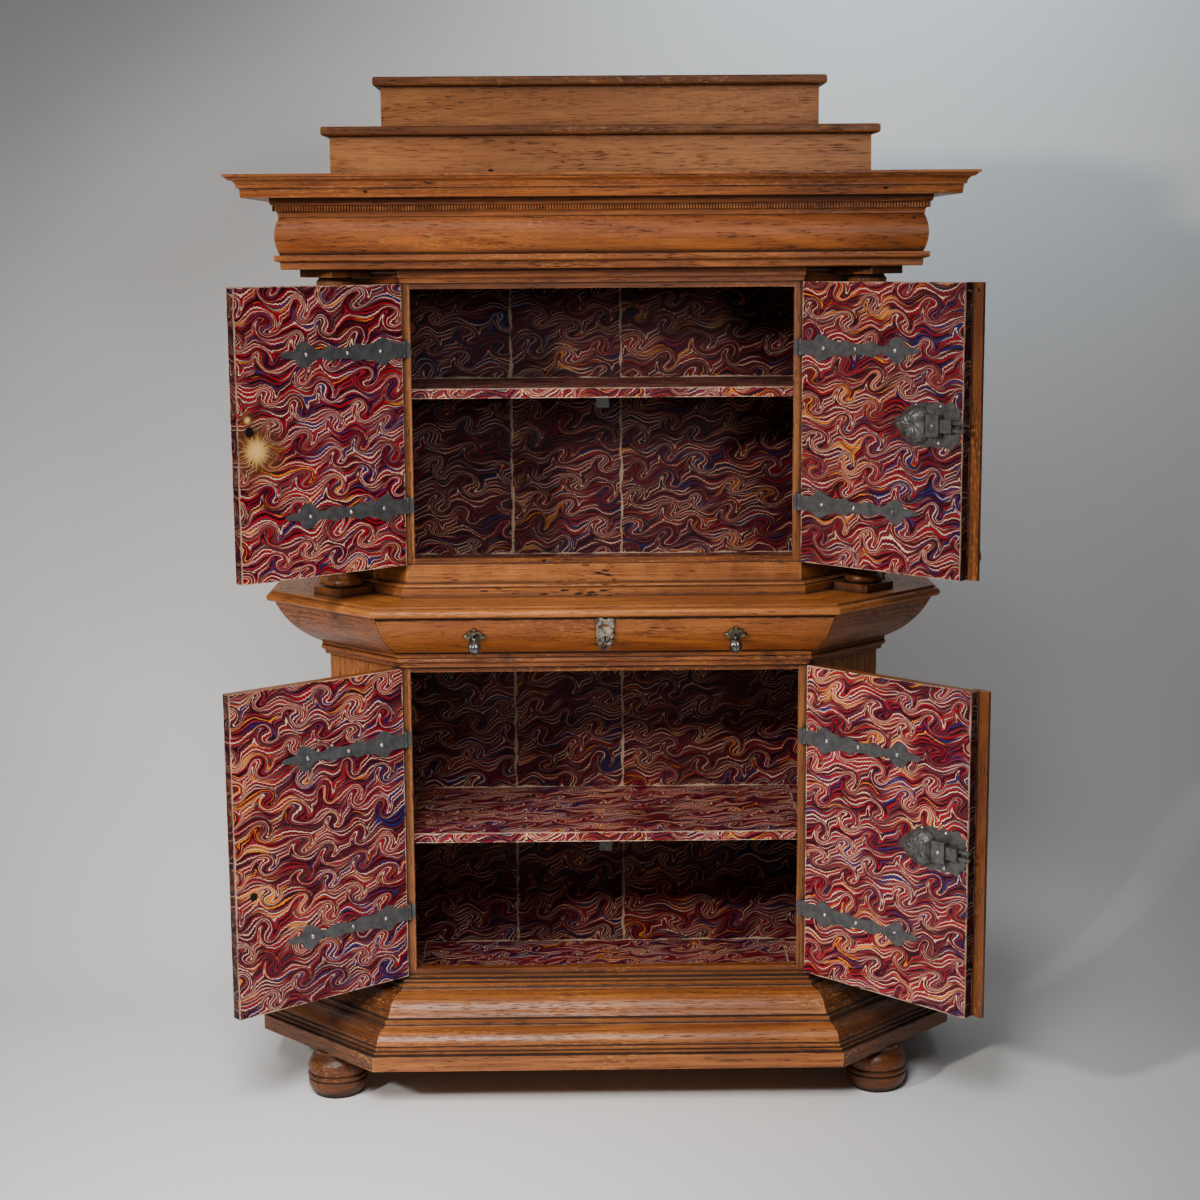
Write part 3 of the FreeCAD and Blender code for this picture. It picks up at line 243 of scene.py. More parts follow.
def oak_group():
    """Growth rings, pores, ray flecks, worm holes, rubbed edges and painted shade in the dulled
    hollows; the vector's X runs along the grain.
    """
    tree, g, given, result = new_tree(
        "oak grain",
        [("Vector", "vector"), ("Light", "colour"), ("Dark", "colour"),
         ("Hollow", "value"), ("Edge", "value"), ("Dents", "value")],
        [("Color", "colour"), ("Roughness", "value"), ("Height", "value")])

    def drawn_noise(stretch, detail, roughness):
        return g.noise(g.scaled(place, stretch), 1.0, detail, roughness)

    def cells(vector, stretch):
        made = g.put(g.node("ShaderNodeTexVoronoi"), Vector=g.scaled(vector, stretch), Scale=1.0)
        return made.outputs["Distance"], g.split(made.outputs["Color"])

    place = given["Vector"]
    drift = g.noise(g.scaled(place, (1.4, 7.0, 7.0)), 1.0, 2, 0.5, output="Color")
    bent = g.vector_math("ADD", place, g.scaled(drift, (0, 0.055, 0.055)))
    along, across, rise = g.split(bent)
    heart = g.join(g.times(along, 0.028), g.math("PINGPONG", across, 0.075),
                   g.math("PINGPONG", rise, 0.09))
    rings = g.noise(g.vector_math("LENGTH", heart), 190, 2, 0.55, dimensions="1D")
    ring_mask = g.step(rings, 0.36, 0.62)
    streaks = drawn_noise((7, 230, 230), 3, 0.65)
    pores = drawn_noise((36, 400, 400), 2, 0.6)
    pore_mask = g.times(g.step(pores, 0.45, 0.33), g.linear(ring_mask, -0.6, 1.0))
    patches = g.step(drawn_noise((2.2, 9, 9), 2, 0.5), 0.46, 0.62)
    flecks = g.step(drawn_noise((85, 230, 230), 1, 0.5), 0.55, 0.68)
    fleck_mask = g.times(flecks, patches)
    clouds = g.noise(place, 2.7, 3, 0.6)
    grown_light = g.linear(ring_mask, 0.42, g.times(g.step(streaks, 0.32, 0.66), 0.58))
    colour = g.blend(grown_light, given["Dark"], given["Light"])
    colour = g.blend(g.times(g.step(clouds, 0.42, 0.7), 0.65), colour, given["Dark"])
    colour = g.blend(g.times(fleck_mask, 0.35), colour, FLECK_PALE)
    colour = g.blend(g.times(pore_mask, 0.85), colour, PORE_DARK)
    away, lot = cells(place, (14, 26, 26))
    holes = g.times(g.math("GREATER_THAN", lot[0], 0.9), g.step(away, 0.085, 0.05))
    away, lot = cells(bent, (46, 230, 230))
    clusters = g.step(drawn_noise((6, 9, 9), 1, 0.5), 0.52, 0.6)
    deep = g.times(g.math("GREATER_THAN", lot[1], 0.62), clusters)
    deep = g.times(deep, g.step(away, 0.5, 0.36))
    holes = g.math("MAXIMUM", holes, g.times(deep, given["Dents"]))
    colour = g.blend(g.times(given["Edge"], 0.45), colour, EDGE_PALE)
    # Painted shade: the hollows are darkened where other surfaces stand close.
    colour = g.blend(g.times(given["Hollow"], 0.94), colour, HOLLOW_PAINTED_SHADE)
    colour = g.blend(holes, colour, HOLE_DARK)
    g.feed(result["Color"], colour)
    polish = g.linear(streaks, 0.26, 0.25)
    dull = g.math("MAXIMUM", pore_mask, given["Hollow"])
    g.feed(result["Roughness"], g.linear(dull, 0.5, polish))
    height = g.linear(streaks, 0.5, g.times(ring_mask, 0.25))
    sunk = g.math("ADD", g.times(pore_mask, 0.6), g.times(holes, 3.0))
    g.feed(result["Height"], g.math("SUBTRACT", height, sunk))
    return tree


OAK_GRAIN = oak_group()
CANT_SLOPE, DIAGONAL = math.tan(math.radians(22.5)), 0.7071


def run_vector(g, place, run):
    """Object coordinates turned so that X follows the length of the board or the moulding."""
    x, y, z = g.split(place)
    if run == "x":
        return place
    if run == "y":
        return g.join(y, x, z)
    if run == "z":
        return g.join(z, x, y)
    corner, front, half = run
    side_x = g.math("ABSOLUTE", x)
    depth = g.math("SUBTRACT", front, y)
    side = g.join(y, side_x, z)
    if corner == half:
        past_corner = g.math("SUBTRACT", side_x, half)
        return g.choose(g.math("GREATER_THAN", depth, past_corner), side, place)
    cant = g.join(g.times(g.math("ADD", side_x, y), DIAGONAL),
                  g.times(g.math("SUBTRACT", side_x, y), DIAGONAL), z)
    on_front = g.math("LESS_THAN", side_x, g.linear(depth, CANT_SLOPE, corner))
    on_side = g.math("GREATER_THAN", g.math("SUBTRACT", y, front + half - corner),
                     g.times(g.math("SUBTRACT", half, side_x), CANT_SLOPE))
    return g.choose(on_front, g.choose(on_side, cant, side), place)


CREVICE, EDGE_REACH = 0.007, 0.004
WAX, WAX_ROUGH = 0.05, 0.28


def oak(name, run, seed, light=(0.42, 0.13, 0.024), dark=(0.13, 0.032, 0.008),
        hollow=0.022, dents=0.0, painted_shade_lines=(), gloss=0.35):
    """Waxed oak with its grain along the given run: darkened in the hollows by painted shade and
    rubbed on the edges. Painted shade also lies in lines at the given heights, each with its reach."""
    material, g, shader = new_finish(name)
    place = g.place()
    shift = (seed * 1.71, seed * 0.93, seed * 2.37)
    shifted = g.vector_math("ADD", run_vector(g, place, run), shift)
    # Painted shade: darker where other surfaces stand within reach, in the hollows and crevices.
    painted_shade = g.math("MAXIMUM", g.step(g.open_air(hollow), 0.9, 0.35),
                      g.times(g.step(g.open_air(CREVICE), 0.93, 0.6), 0.85))
    # Painted shade in soft lines along the given heights, each with its reach.
    for rise, reach in painted_shade_lines:
        away = g.math("ABSOLUTE", g.math("SUBTRACT", g.split(place)[2], rise))
        away = g.linear(g.noise(place, 30, 3, 0.6), reach, away)
        painted_shade = g.math("MAXIMUM", painted_shade, g.step(away, reach * 1.5, reach * 0.9))
    edge = g.step(g.open_air(EDGE_REACH, samples=4, inside=True), 0.75, 0.35)
    edge = g.times(edge, g.step(g.noise(place, 22, 3, 0.6), 0.4, 0.65))
    grain = g.put(g.node("ShaderNodeGroup", node_tree=OAK_GRAIN), Vector=shifted, Hollow=painted_shade,
                  Edge=edge, Light=(*light, 1), Dark=(*dark, 1), Dents=dents).outputs
    g.put(shader, Base_Color=grain["Color"], Roughness=grain["Roughness"], Specular_IOR_Level=gloss,
          Coat_Weight=WAX, Coat_Roughness=WAX_ROUGH)
    g.relief(shader, 0.7, 0.001, grain["Height"])
    return material


def dress(material, *nodes):
    """Gives solids of the frame their finish."""
    for node in nodes:
        slots = frame["nodes"][node].data.materials
        slots.clear()
        slots.append(material)


dress(oak("oak of the feet", "x", 4.3, (0.14, 0.041, 0.01), (0.042, 0.012, 0.004)), "bun_feet")

# Plinth. A heavy oak moulding in five mitred lengths, its grain running along each length, glued
# and pegged to the case. Painted shade lies black in its quirks; the ends are darker, in part
# their own tone and in part painted shade.
lower_low, lower_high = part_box("lower_cants")
upper_low, upper_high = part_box("upper_cants")
CASE_HALF, WALL, STILE = lower_high.x, 0.020, 0.016
LOWER_FRONT, UPPER_FRONT = lower_low.y, upper_low.y
MITRE_RISE = WALL * (math.sqrt(2) - 1)
LOWER_CORNER = CASE_HALF - (lower_high.y - LOWER_FRONT - MITRE_RISE)
UPPER_CORNER = CASE_HALF - (upper_high.y - UPPER_FRONT - MITRE_RISE)
round_lower = (LOWER_CORNER, LOWER_FRONT, CASE_HALF)
round_upper = (UPPER_CORNER, UPPER_FRONT, CASE_HALF)
plinth_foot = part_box("plinth_front")[0].z
# Heights above the plinth's foot of the painted shade lines in its quirks, each with its reach.
QUIRKS = ((0.032, 0.0022), (0.038, 0.0016), (0.046, 0.0018), (0.0785, 0.0018),
          (0.0885, 0.0014), (0.131, 0.002), (0.140, 0.0012), (0.1465, 0.0012))
quirks = [(plinth_foot + rise, reach) for rise, reach in QUIRKS]
dress(oak("oak of the plinth", round_lower, 0.3, (0.40, 0.13, 0.025), (0.15, 0.042, 0.0095),
          painted_shade_lines=quirks, gloss=0.42), "plinth_front")
# The plinth ends get a darker oak, in part their own tone and in part painted shade.
dress(oak("oak of the plinth ends, darker and in painted shade", round_lower, 0.5, (0.17, 0.052, 0.012),
          (0.055, 0.016, 0.005), painted_shade_lines=quirks), "plinth_returns")

# Walls, floors and shelves. Plain oak: upright boards outside, level boards inside, housed and
# pegged; rails close the case behind the door edges, their oak darkened as painted shade.
dress(oak("oak of the walls", "z", 1.9, (0.40, 0.14, 0.038), (0.17, 0.052, 0.016)),
      "lower_cants", "lower_sides", "upper_cants", "upper_sides", "lower_back_boards",
      "upper_back_boards")
dress(oak("oak of the shelves", "x", 3.1, (0.24, 0.09, 0.026), (0.09, 0.028, 0.01)),
      "lower_floor", "lower_shelf", "upper_floor", "upper_shelf", "drawer_deck", "shelf_bearers",
      "drawer_guides")
# The rails' oak is darkened as painted shade.
dress(oak("oak of the rails", "x", 2.7, (0.26, 0.078, 0.016), (0.08, 0.02, 0.006)), "door_rails")

# Waist. A small moulding, flared blocks and a board with a round nosing, of oak, all mitred like
# the plinth and glued to the case. The board's oak is the palest.
dress(oak("oak of the waist", round_lower, 0.8, (0.38, 0.115, 0.022)),
      "waist_moulding", "waist_flares")
dress(oak("oak of the waist board", round_lower, 1.2, (0.54, 0.18, 0.036), (0.23, 0.066, 0.014)),
      "waist_board")

# Drawer. Its front is a length of the flare, in waxed oak with painted shade along its top and
# bottom edges; the box behind is thin plain oak without wax, nailed together, and slides on the deck.
front_low, front_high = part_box("drawer_front")
# The bands at the front's top and bottom edges are painted shade of the gaps above and below it.
dress(oak("oak of the drawer front", "x", 5.2, (0.48, 0.145, 0.022), (0.21, 0.052, 0.009),
          painted_shade_lines=((front_low.z, 0.005), (front_high.z, 0.008))), "drawer_front")
dress(oak("oak of the drawer box", "y", 5.9, (0.40, 0.22, 0.10), (0.2, 0.1, 0.045)), "drawer_box")


# Drawer furniture. A cast cartouche round the keyhole and two drop pulls, each a four-pointed
# rosette with a fluted drop, all of white metal that has dulled in its hollows.
CAST_HOLLOW = 0.006


def cast_metal(name, low, high, rough):
    """Dull cast metal, dark in its hollows and rubbed bright on its ridges."""
    material, g, shader = new_finish(name)
    place = g.place()
    fine = g.noise(place, 380, 3, 0.6)
    lit = g.times(g.step(g.open_air(CAST_HOLLOW), 0.35, 0.85),
                  g.step(g.noise(place, 90, 2, 0.5), 0.25, 0.6))
    g.put(shader, Base_Color=g.blend(lit, low, high), Roughness=g.linear(fine, 0.3, rough - 0.15),
          Metallic=0.85)
    g.relief(shader, 0.35, 0.0006, fine)
    return material


def grid_faces(columns, rows, closed=False):
    """Quads of a grid of points, row after row; a closed grid joins its last column to its first."""
    wide = columns if closed else columns + 1
    return [(row + i, row + (i + 1) % wide, row + wide + (i + 1) % wide, row + wide + i)
            for row in range(0, rows * wide, wide) for i in range(columns)]


def between(table, place):
    """A value read from a table of (place, value) pairs."""
    for (first, low), (last, high) in zip(table, table[1:]):
        if place <= last:
            share = (place - first) / (last - first)
            return low + (high - low) * share * share * (3 - 2 * share)
    return table[-1][1]


section = {}
for vertex in frame["nodes"]["drawer_front"].data.vertices:
    level = round(vertex.co.z, 4)
    section[level] = min(section.get(level, 0.0), vertex.co.y)
section = sorted(section.items())


def drawer_face(z):
    """The point of the drawer's swelling face at a height, and the way it faces."""
    for (low, low_y), (high, high_y) in zip(section, section[1:]):
        if z <= high:
            slope = (high_y - low_y) / (high - low)
            return low_y + slope * (z - low), Vector((0, -1, slope)).normalized()
    return section[-1][1], Vector((0, -1, 0))


PLATE_COLUMNS, PLATE_ROWS = 36, 64
PLATE_HALF, PLATE_TALL, PLATE_DIP = 0.020, 0.1, 0.07
PLATE_WIDTHS = [(0, 0.16), (0.03, 0.42), (0.09, 0.62), (0.16, 0.72), (0.21, 0.66), (0.28, 0.86),
                (0.36, 0.92), (0.41, 0.78), (0.47, 0.94), (0.54, 0.97), (0.58, 0.84), (0.66, 0.9),
                (0.80, 1.0), (0.92, 1.0), (1.0, 0.8)]
KEY_RISE, KEY_EYE, KEY_EYE_RISE, KEY_SLOT_HALF, KEY_SLOT_DROP = 0.40, 0.0036, 0.004, 0.0017, 0.010
WINDOW_HALF, WINDOW_RISE, WINDOW_TALL = 0.0085, 0.745, 0.035


def bell(away, width, power=2):
    """One in the middle, falling off to nought past the width."""
    return math.exp(-(away / width) ** power)


def plate_height(u, v):
    """Relief of the cartouche in millimetres: scrolls, a hollow, a band, a key ring and leaves."""
    side = abs(u)
    scroll = math.hypot((side - 0.56) * 20, (v - 0.88) * 100)
    ring = math.hypot(u * 20, (v - 0.42) * 100)
    sway = 0.03 * math.cos(3 * u)
    rise = 2.4 + 1.6 * bell(side - 0.84, 0.13)
    rise += 2.8 * bell(scroll - 5.4, 1.7) + 2.6 * bell(scroll, 2.0)
    rise += 2.6 * bell(u, 0.26) * bell(v - 0.86, 0.04)
    rise -= 2.2 * bell(u, 0.5, 4) * bell(v - WINDOW_RISE, 0.055, 4)
    rise += 2.8 * bell(v - 0.60 + sway, 0.018) + 1.6 * bell(v - 0.54 + sway, 0.014)
    rise += 2.6 * bell(ring - 8.5, 2.0)
    rise += 2.8 * bell(side - 0.5, 0.22) * bell(v - 0.24, 0.035)
    rise -= 1.4 * bell(side - 0.35, 0.15) * bell(v - 0.18, 0.02)
    rise += 3.2 * bell(u, 0.3) * bell(v - 0.10, 0.045)
    rise += 1.2 * math.sin(22 * v + 5 * side) * side * (1 - side) * 2
    return max(0.7, rise) * (1 if side < 0.97 else 0.5)


plate_low, plate_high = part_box("drawer_escutcheon")
points = []
for j in range(-1, PLATE_ROWS + 2):
    v = min(max(j / PLATE_ROWS, 0), 1)
    for i in range(-1, PLATE_COLUMNS + 2):
        u = min(max(2 * i / PLATE_COLUMNS - 1, -1), 1)
        skirt = j in (-1, PLATE_ROWS + 1) or i in (-1, PLATE_COLUMNS + 1)
        dip = PLATE_DIP * bell(u, 0.3) * max(0, (v - 0.8) / 0.2)
        z = plate_low.z + (plate_high.z - plate_low.z) * (v - dip)
        y, out = drawer_face(z)
        lift = 0 if skirt else plate_height(u, v) / 1000
        points.append(Vector((u * PLATE_HALF * between(PLATE_WIDTHS, v), y, z)) + out * lift)
escutcheon = mesh_object("drawer_cartouche", points,
                         grid_faces(PLATE_COLUMNS + 2, PLATE_ROWS + 2), smooth=True)
white_metal = cast_metal("dulled white metal", (0.016, 0.013, 0.01), (0.50, 0.45, 0.36), 0.42)
# The keyhole is no opening: its faces are painted near black as the shade inside it.
keyhole_shade = cast_metal("painted shade of the keyhole", (0.004, 0.004, 0.004), (0.012, 0.011, 0.01), 0.6)
for metal in (white_metal, keyhole_shade, frame["nodes"]["drawer_front"].data.materials[0]):
    escutcheon.data.materials.append(metal)
for polygon in escutcheon.data.polygons:
    rise = (polygon.center.z - plate_low.z) / (plate_high.z - plate_low.z)
    side, key_rise = abs(polygon.center.x), (rise - KEY_RISE) * PLATE_TALL
    in_eye = math.hypot(side, key_rise - KEY_EYE_RISE) < KEY_EYE
    if in_eye or (side < KEY_SLOT_HALF and -KEY_SLOT_DROP < key_rise < KEY_EYE_RISE):
        polygon.material_index = 1
    elif (side / WINDOW_HALF) ** 2 + ((rise - WINDOW_RISE) / WINDOW_TALL) ** 2 < 1:
        polygon.material_index = 2
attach(escutcheon, "drawer")
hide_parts("drawer_escutcheon")

JOINTS = {joint["name"]: joint for joint in frame["record"]["behaviour"]["joints"]}
ROSETTE_RINGS, ROSETTE_STEPS = 12, 72
ROSETTE_ROUND, ROSETTE_POINT, ROSETTE_LOBE = 0.0125, 0.0103, 0.0030
ROSETTE_THICK, ROSETTE_DISH, ROSETTE_VEIN, ROSETTE_SEAT = 0.0014, 0.0026, 0.0010, 0.0002
FLUTES, FLUTE_DEPTH, FLUTED_FROM, FLUTED_TO = 9, 0.085, 0.004, 0.0285
DROP_PROFILE = [(-0.0036, 0.0006), (-0.0032, 0.0026), (0.0, 0.0036), (0.0026, 0.0034),
                (0.0034, 0.0040), (0.0042, 0.0062), (0.0060, 0.0084), (0.0090, 0.0109),
                (0.0125, 0.0126), (0.0165, 0.0131), (0.0205, 0.0126), (0.0240, 0.0109),
                (0.0268, 0.0082), (0.0288, 0.0046), (0.0296, 0.0026), (0.0306, 0.0032),
                (0.0316, 0.0028), (0.0322, 0.0016), (0.0325, 0.0004)]
PULL_REACH, SEAT_TRIES = 0.010, 4
turns = [2 * math.pi * step / ROSETTE_STEPS for step in range(ROSETTE_STEPS)]
end_face = tuple(reversed(range(ROSETTE_STEPS)))
rosette_metal = cast_metal("dark rosette metal", (0.014, 0.011, 0.008), (0.34, 0.29, 0.20), 0.4)
drop_metal = cast_metal("dark drop metal", (0.016, 0.015, 0.014), (0.20, 0.19, 0.18), 0.24)
for hand in ("left", "right"):
    pivot = Vector(JOINTS[f"{hand}_drop_swing"]["pos_m"])
    seat_z = pivot.z
    for _ in range(SEAT_TRIES):
        seat_z = pivot.z - PULL_REACH * drawer_face(seat_z)[1].z
    seat_y, out = drawer_face(seat_z)
    seat = Vector((pivot.x, seat_y, seat_z))
    rise_way = Vector((0, out.z, -out.y))
    points = []
    for ring in range(ROSETTE_RINGS + 2):
        share = min(ring / ROSETTE_RINGS, 1)
        for angle in turns:
            radius = ROSETTE_ROUND + ROSETTE_POINT * abs(math.cos(2 * angle)) ** 14
            radius += ROSETTE_LOBE * abs(math.sin(2 * angle)) ** 0.7
            height = ROSETTE_THICK + ROSETTE_DISH * share ** 3
            height += ROSETTE_VEIN * abs(math.cos(8 * angle)) * share * (1 - share) * 4
            height = ROSETTE_SEAT if ring > ROSETTE_RINGS else height
            spread = max(share, 0.01) * radius
            points.append(seat + Vector((spread * math.cos(angle), 0, 0))
                          + rise_way * spread * math.sin(angle) + out * height)
    faces = grid_faces(ROSETTE_STEPS, ROSETTE_RINGS + 1, closed=True) + [end_face]
    rosette = mesh_object(f"{hand}_pull_rosette", points, faces, rosette_metal, smooth=True)
    rosette.data.flip_normals()
    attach(rosette, "drawer")
    points = []
    for drop, radius in DROP_PROFILE:
        fluted = FLUTE_DEPTH if FLUTED_FROM < drop < FLUTED_TO else 0.0
        for angle in turns:
            girth = radius * (1 - fluted + fluted * abs(math.sin(FLUTES * angle / 2)) * 1.4)
            points.append(pivot + Vector((girth * math.cos(angle), girth * math.sin(angle), -drop)))
    faces = grid_faces(ROSETTE_STEPS, len(DROP_PROFILE) - 1, closed=True)
    faces += [end_face, tuple(range(len(points) - ROSETTE_STEPS, len(points)))]
    drop_piece = mesh_object(f"{hand}_fluted_drop", points, faces, drop_metal, smooth=True)
    drop_piece.data.flip_normals()
    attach(drop_piece, f"{hand}_drop")
    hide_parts(f"{hand}_drop")
dress(rosette_metal, "pull_mounts", "drawer_escutcheon", "left_drop", "right_drop")

# Upper case. Oak base and head mouldings, mitred and glued like the plinth, and turned oak
# columns set cornerwise before the cants, waxed darker than the waist.
dress(oak("oak of the upper base", round_upper, 0.7, (0.44, 0.15, 0.034), (0.17, 0.05, 0.012),
          dents=1.0), "upper_base_moulding")
dress(oak("oak of the head moulding", round_upper, 1.4, (0.34, 0.105, 0.022)), "head_moulding")
dress(oak("oak of the columns", "z", 2.2, (0.27, 0.085, 0.02), (0.09, 0.025, 0.007)),
      "columns", "column_blocks")

# Entablature. Architrave, swelling frieze, bed moulding and cornice of oak, square-cornered and
# mitred; a strip of fine upright ripples is planed into the bed moulding under the cornice.
deck_low, deck_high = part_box("entablature_decks")
ENTABLATURE_WALL = 0.030
square_half = deck_high.x + ENTABLATURE_WALL
square_run = (square_half, deck_low.y - ENTABLATURE_WALL, square_half)
cornice_oak = oak("oak of the cornice", square_run, 1.1, (0.45, 0.128, 0.02), (0.15, 0.036, 0.007))
dress(cornice_oak, "architrave", "bed_moulding", "cornice")
dress(oak("oak of the frieze", square_run, 2.9, (0.47, 0.138, 0.024), (0.2, 0.05, 0.01)), "frieze")
dress(oak("oak of the inner decks", "x", 3.7, (0.28, 0.11, 0.034)), "entablature_decks")


GROWING = [("Geometry", "geometry")], "GeometryNodeTree"


def finish_tree(g, points, shape, given, result, scale=(1, 1, 1)):
    """Ends a growing tree: a copy of the shape on every point, made mesh and given its material."""
    copies = g.put(g.node("GeometryNodeInstanceOnPoints"), Points=points,
                   Instance=shape.outputs["Mesh"], Scale=scale)
    real = g.put(g.node("GeometryNodeRealizeInstances"), Geometry=copies.outputs["Instances"])
    paint = g.put(g.node("GeometryNodeSetMaterial"), Geometry=real.outputs[0],
                  Material=given["Material"])
    g.feed(result["Geometry"], paint.outputs[0])


def ripple_tree():
    """A straight row of small upright round bars."""
    tree, g, given, result = new_tree("row of ripples", [
        ("Geometry", "geometry"), ("Count", "count"), ("Start", "vector"), ("Step", "vector"),
        ("Radius", "value"), ("Height", "value"), ("Material", "material")], *GROWING)
    row = g.put(g.node("GeometryNodeMeshLine"), Count=given["Count"],
                Start_Location=given["Start"], Offset=given["Step"])
    bar = g.put(g.node("GeometryNodeMeshCylinder"), Vertices=10, Radius=given["Radius"],
                Depth=given["Height"])
    finish_tree(g, row.outputs["Mesh"], bar, given, result)
    return tree


def grown(name, points, tree, settings):
    """Runs a tree over bare points once and keeps what grew as a plain mesh object."""
    made = mesh_object(name, points, [])
    grower = made.modifiers.new("grow", "NODES")
    grower.node_group = tree
    labels = {item.name: item.identifier for item in tree.interface.items_tree
              if item.in_out == "INPUT"}
    for label, value in settings.items():
        grower[labels[label]] = value
    graph = bpy.context.evaluated_depsgraph_get()
    mesh = bpy.data.meshes.new_from_object(made.evaluated_get(graph), depsgraph=graph)
    made.modifiers.remove(grower)
    made.data = mesh
    return made


RIPPLE_PITCH, RIPPLE_RADIUS, RIPPLE_HEIGHT = 0.0056, 0.0024, 0.0096
RIPPLE_SET, RIPPLE_FOOT = 0.007, 0.0112
bed_low, bed_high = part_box("bed_moulding")
ripple_z = bed_low.z + RIPPLE_FOOT + RIPPLE_HEIGHT / 2
ripple_half, ripple_y = bed_high.x - RIPPLE_SET, bed_low.y + RIPPLE_SET
ripples = ripple_tree()
for run, start, way, length in (
        ("front", (-ripple_half, ripple_y, ripple_z), (1, 0, 0), 2 * ripple_half),
        ("left", (-ripple_half, ripple_y, ripple_z), (0, 1, 0), bed_high.y - ripple_y),
        ("right", (ripple_half, ripple_y, ripple_z), (0, 1, 0), bed_high.y - ripple_y)):
    count = int(length / RIPPLE_PITCH)
    strip = grown(f"ripple_strip_{run}", [(0, 0, 0)], ripples, {
        "Count": count, "Start": start, "Step": tuple(part * length / count for part in way),
        "Radius": RIPPLE_RADIUS, "Height": RIPPLE_HEIGHT, "Material": cornice_oak})
    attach(strip, "case")

# Stepped top. Two open-backed oak boxes with rounded caps, pegged one on the other and left
# duller and dustier than the cornice; the caps are darker than the boxes.
dress(oak("oak of the steps", square_run, 6.1, (0.50, 0.19, 0.055), (0.25, 0.085, 0.025)),
      "lower_step", "upper_step")
dress(oak("oak of the step caps", "x", 6.9, (0.27, 0.09, 0.024), (0.10, 0.03, 0.009)),
      "lower_step_cap", "upper_step_cap")

# Doors. Broad upright oak boards with a mitred frame and a raised field outside; the right-hand
# doors carry the astragal that covers the meeting line.
DOORS = {"upper_left": -1, "upper_right": 1, "lower_left": -1, "lower_right": 1}
door_oak = oak("oak of the doors", "z", 6.4, (0.36, 0.115, 0.024))
for door in DOORS:
    dress(door_oak, f"{door}_door", f"{door}_door_panel")
dress(oak("oak of the astragals", "z", 7.3, (0.26, 0.08, 0.018), (0.11, 0.03, 0.008), hollow=0.008),
      "upper_right_astragal", "lower_right_astragal")


def door_turn(door):
    """How a closed door is turned about its hinge to stand as it does."""
    joint = JOINTS[f"{door}_hinge"]
    pivot = Matrix.Translation(Vector(joint["pos_m"]))
    angle = math.radians(-joint["range_deg"][0]) * joint["axis"][2]
    return pivot @ Matrix.Rotation(angle, 4, "Z") @ pivot.inverted()


def closed_box(door):
    """Lowest and highest corner of a door's board with the door shut."""
    back = door_turn(door).inverted()
    points = [back @ vertex.co for vertex in frame["nodes"][f"{door}_door"].data.vertices]
    return (Vector(min(point[i] for point in points) for i in range(3)),
            Vector(max(point[i] for point in points) for i in range(3)))


# Strap hinges. Straps, leaves, pins and catches are forged and filed iron with a grey bloom;
# each strap is held by three bright-headed nails.
BLOOM, RUST = (0.22, 0.22, 0.22), (0.07, 0.035, 0.02)


def iron(name, low=(0.06, 0.061, 0.064), high=(0.11, 0.112, 0.116), rough=0.5, chasing=0.0016):
    """Forged iron: hammer marks, dark scale, a grey bloom and a little rust."""
    material, g, shader = new_finish(name)
    place = g.place()
    blotch = g.noise(place, 60, 4, 0.65)
    fine = g.noise(place, 480, 3, 0.65)
    colour = g.blend(g.step(blotch, 0.3, 0.7), low, high)
    colour = g.blend(g.times(g.step(fine, 0.55, 0.75), 0.4), colour, BLOOM)
    rusty = g.step(g.noise(place, 28, 3, 0.6), 0.62, 0.75)
    colour = g.blend(g.times(rusty, 0.2), colour, RUST)
    g.put(shader, Base_Color=colour, Roughness=g.linear(fine, 0.25, rough - 0.12), Metallic=0.45)
    g.relief(shader, 0.4, chasing, g.linear(fine, 0.3, g.noise(place, 140, 2, 0.5)))
    return material


def nail_tree():
    """A flat-domed head on every point; the heads face the door's inner side."""
    tree, g, given, result = new_tree("nail heads", [
        ("Geometry", "geometry"), ("Radius", "value"), ("Dome", "value"),
        ("Material", "material")], *GROWING)
    head = g.put(g.node("GeometryNodeMeshUVSphere"), Segments=14, Rings=8, Radius=given["Radius"])
    flat = g.join(1.0, given["Dome"], 1.0)
    finish_tree(g, given["Geometry"], head, given, result, flat)
    return tree


strap_iron = iron("forged strap iron")
nail_iron = cast_metal("bright nail heads", (0.10, 0.10, 0.10), (0.75, 0.74, 0.71), 0.24)
nails = nail_tree()
STRAP_RISES = {"upper": (1.226, 1.538), "lower": (0.383, 0.748)}
STRAP_NAILS, STRAP_THICK, NAIL_RADIUS, NAIL_DOME = (0.0536, 0.1331, 0.2292), 0.0025, 0.0047, 0.62


def nail_heads(name, door, places, radius):
    """Heads at places on a shut door, turned to stand as the door does."""
    heads = grown(name, places, nails, {"Radius": radius, "Dome": NAIL_DOME, "Material": nail_iron})
    heads.data.transform(door_turn(door))
    heads.data.shade_smooth()
    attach(heads, f"{door}_door")


dress(strap_iron, "hinge_leaves", "hinge_pins")
dress(iron("blackened catch iron", (0.012, 0.011, 0.01), (0.03, 0.028, 0.026)), "shelf_catches")
for door, sign in DOORS.items():
    dress(strap_iron, f"{door}_straps")
    low, high = closed_box(door)
    hinge_x = high.x if sign > 0 else low.x
    places = [(hinge_x - sign * along, high.y + STRAP_THICK, rise)
              for rise in STRAP_RISES[door.split("_")[0]] for along in STRAP_NAILS]
    nail_heads(f"{door}_strap_nails", door, places, NAIL_RADIUS)

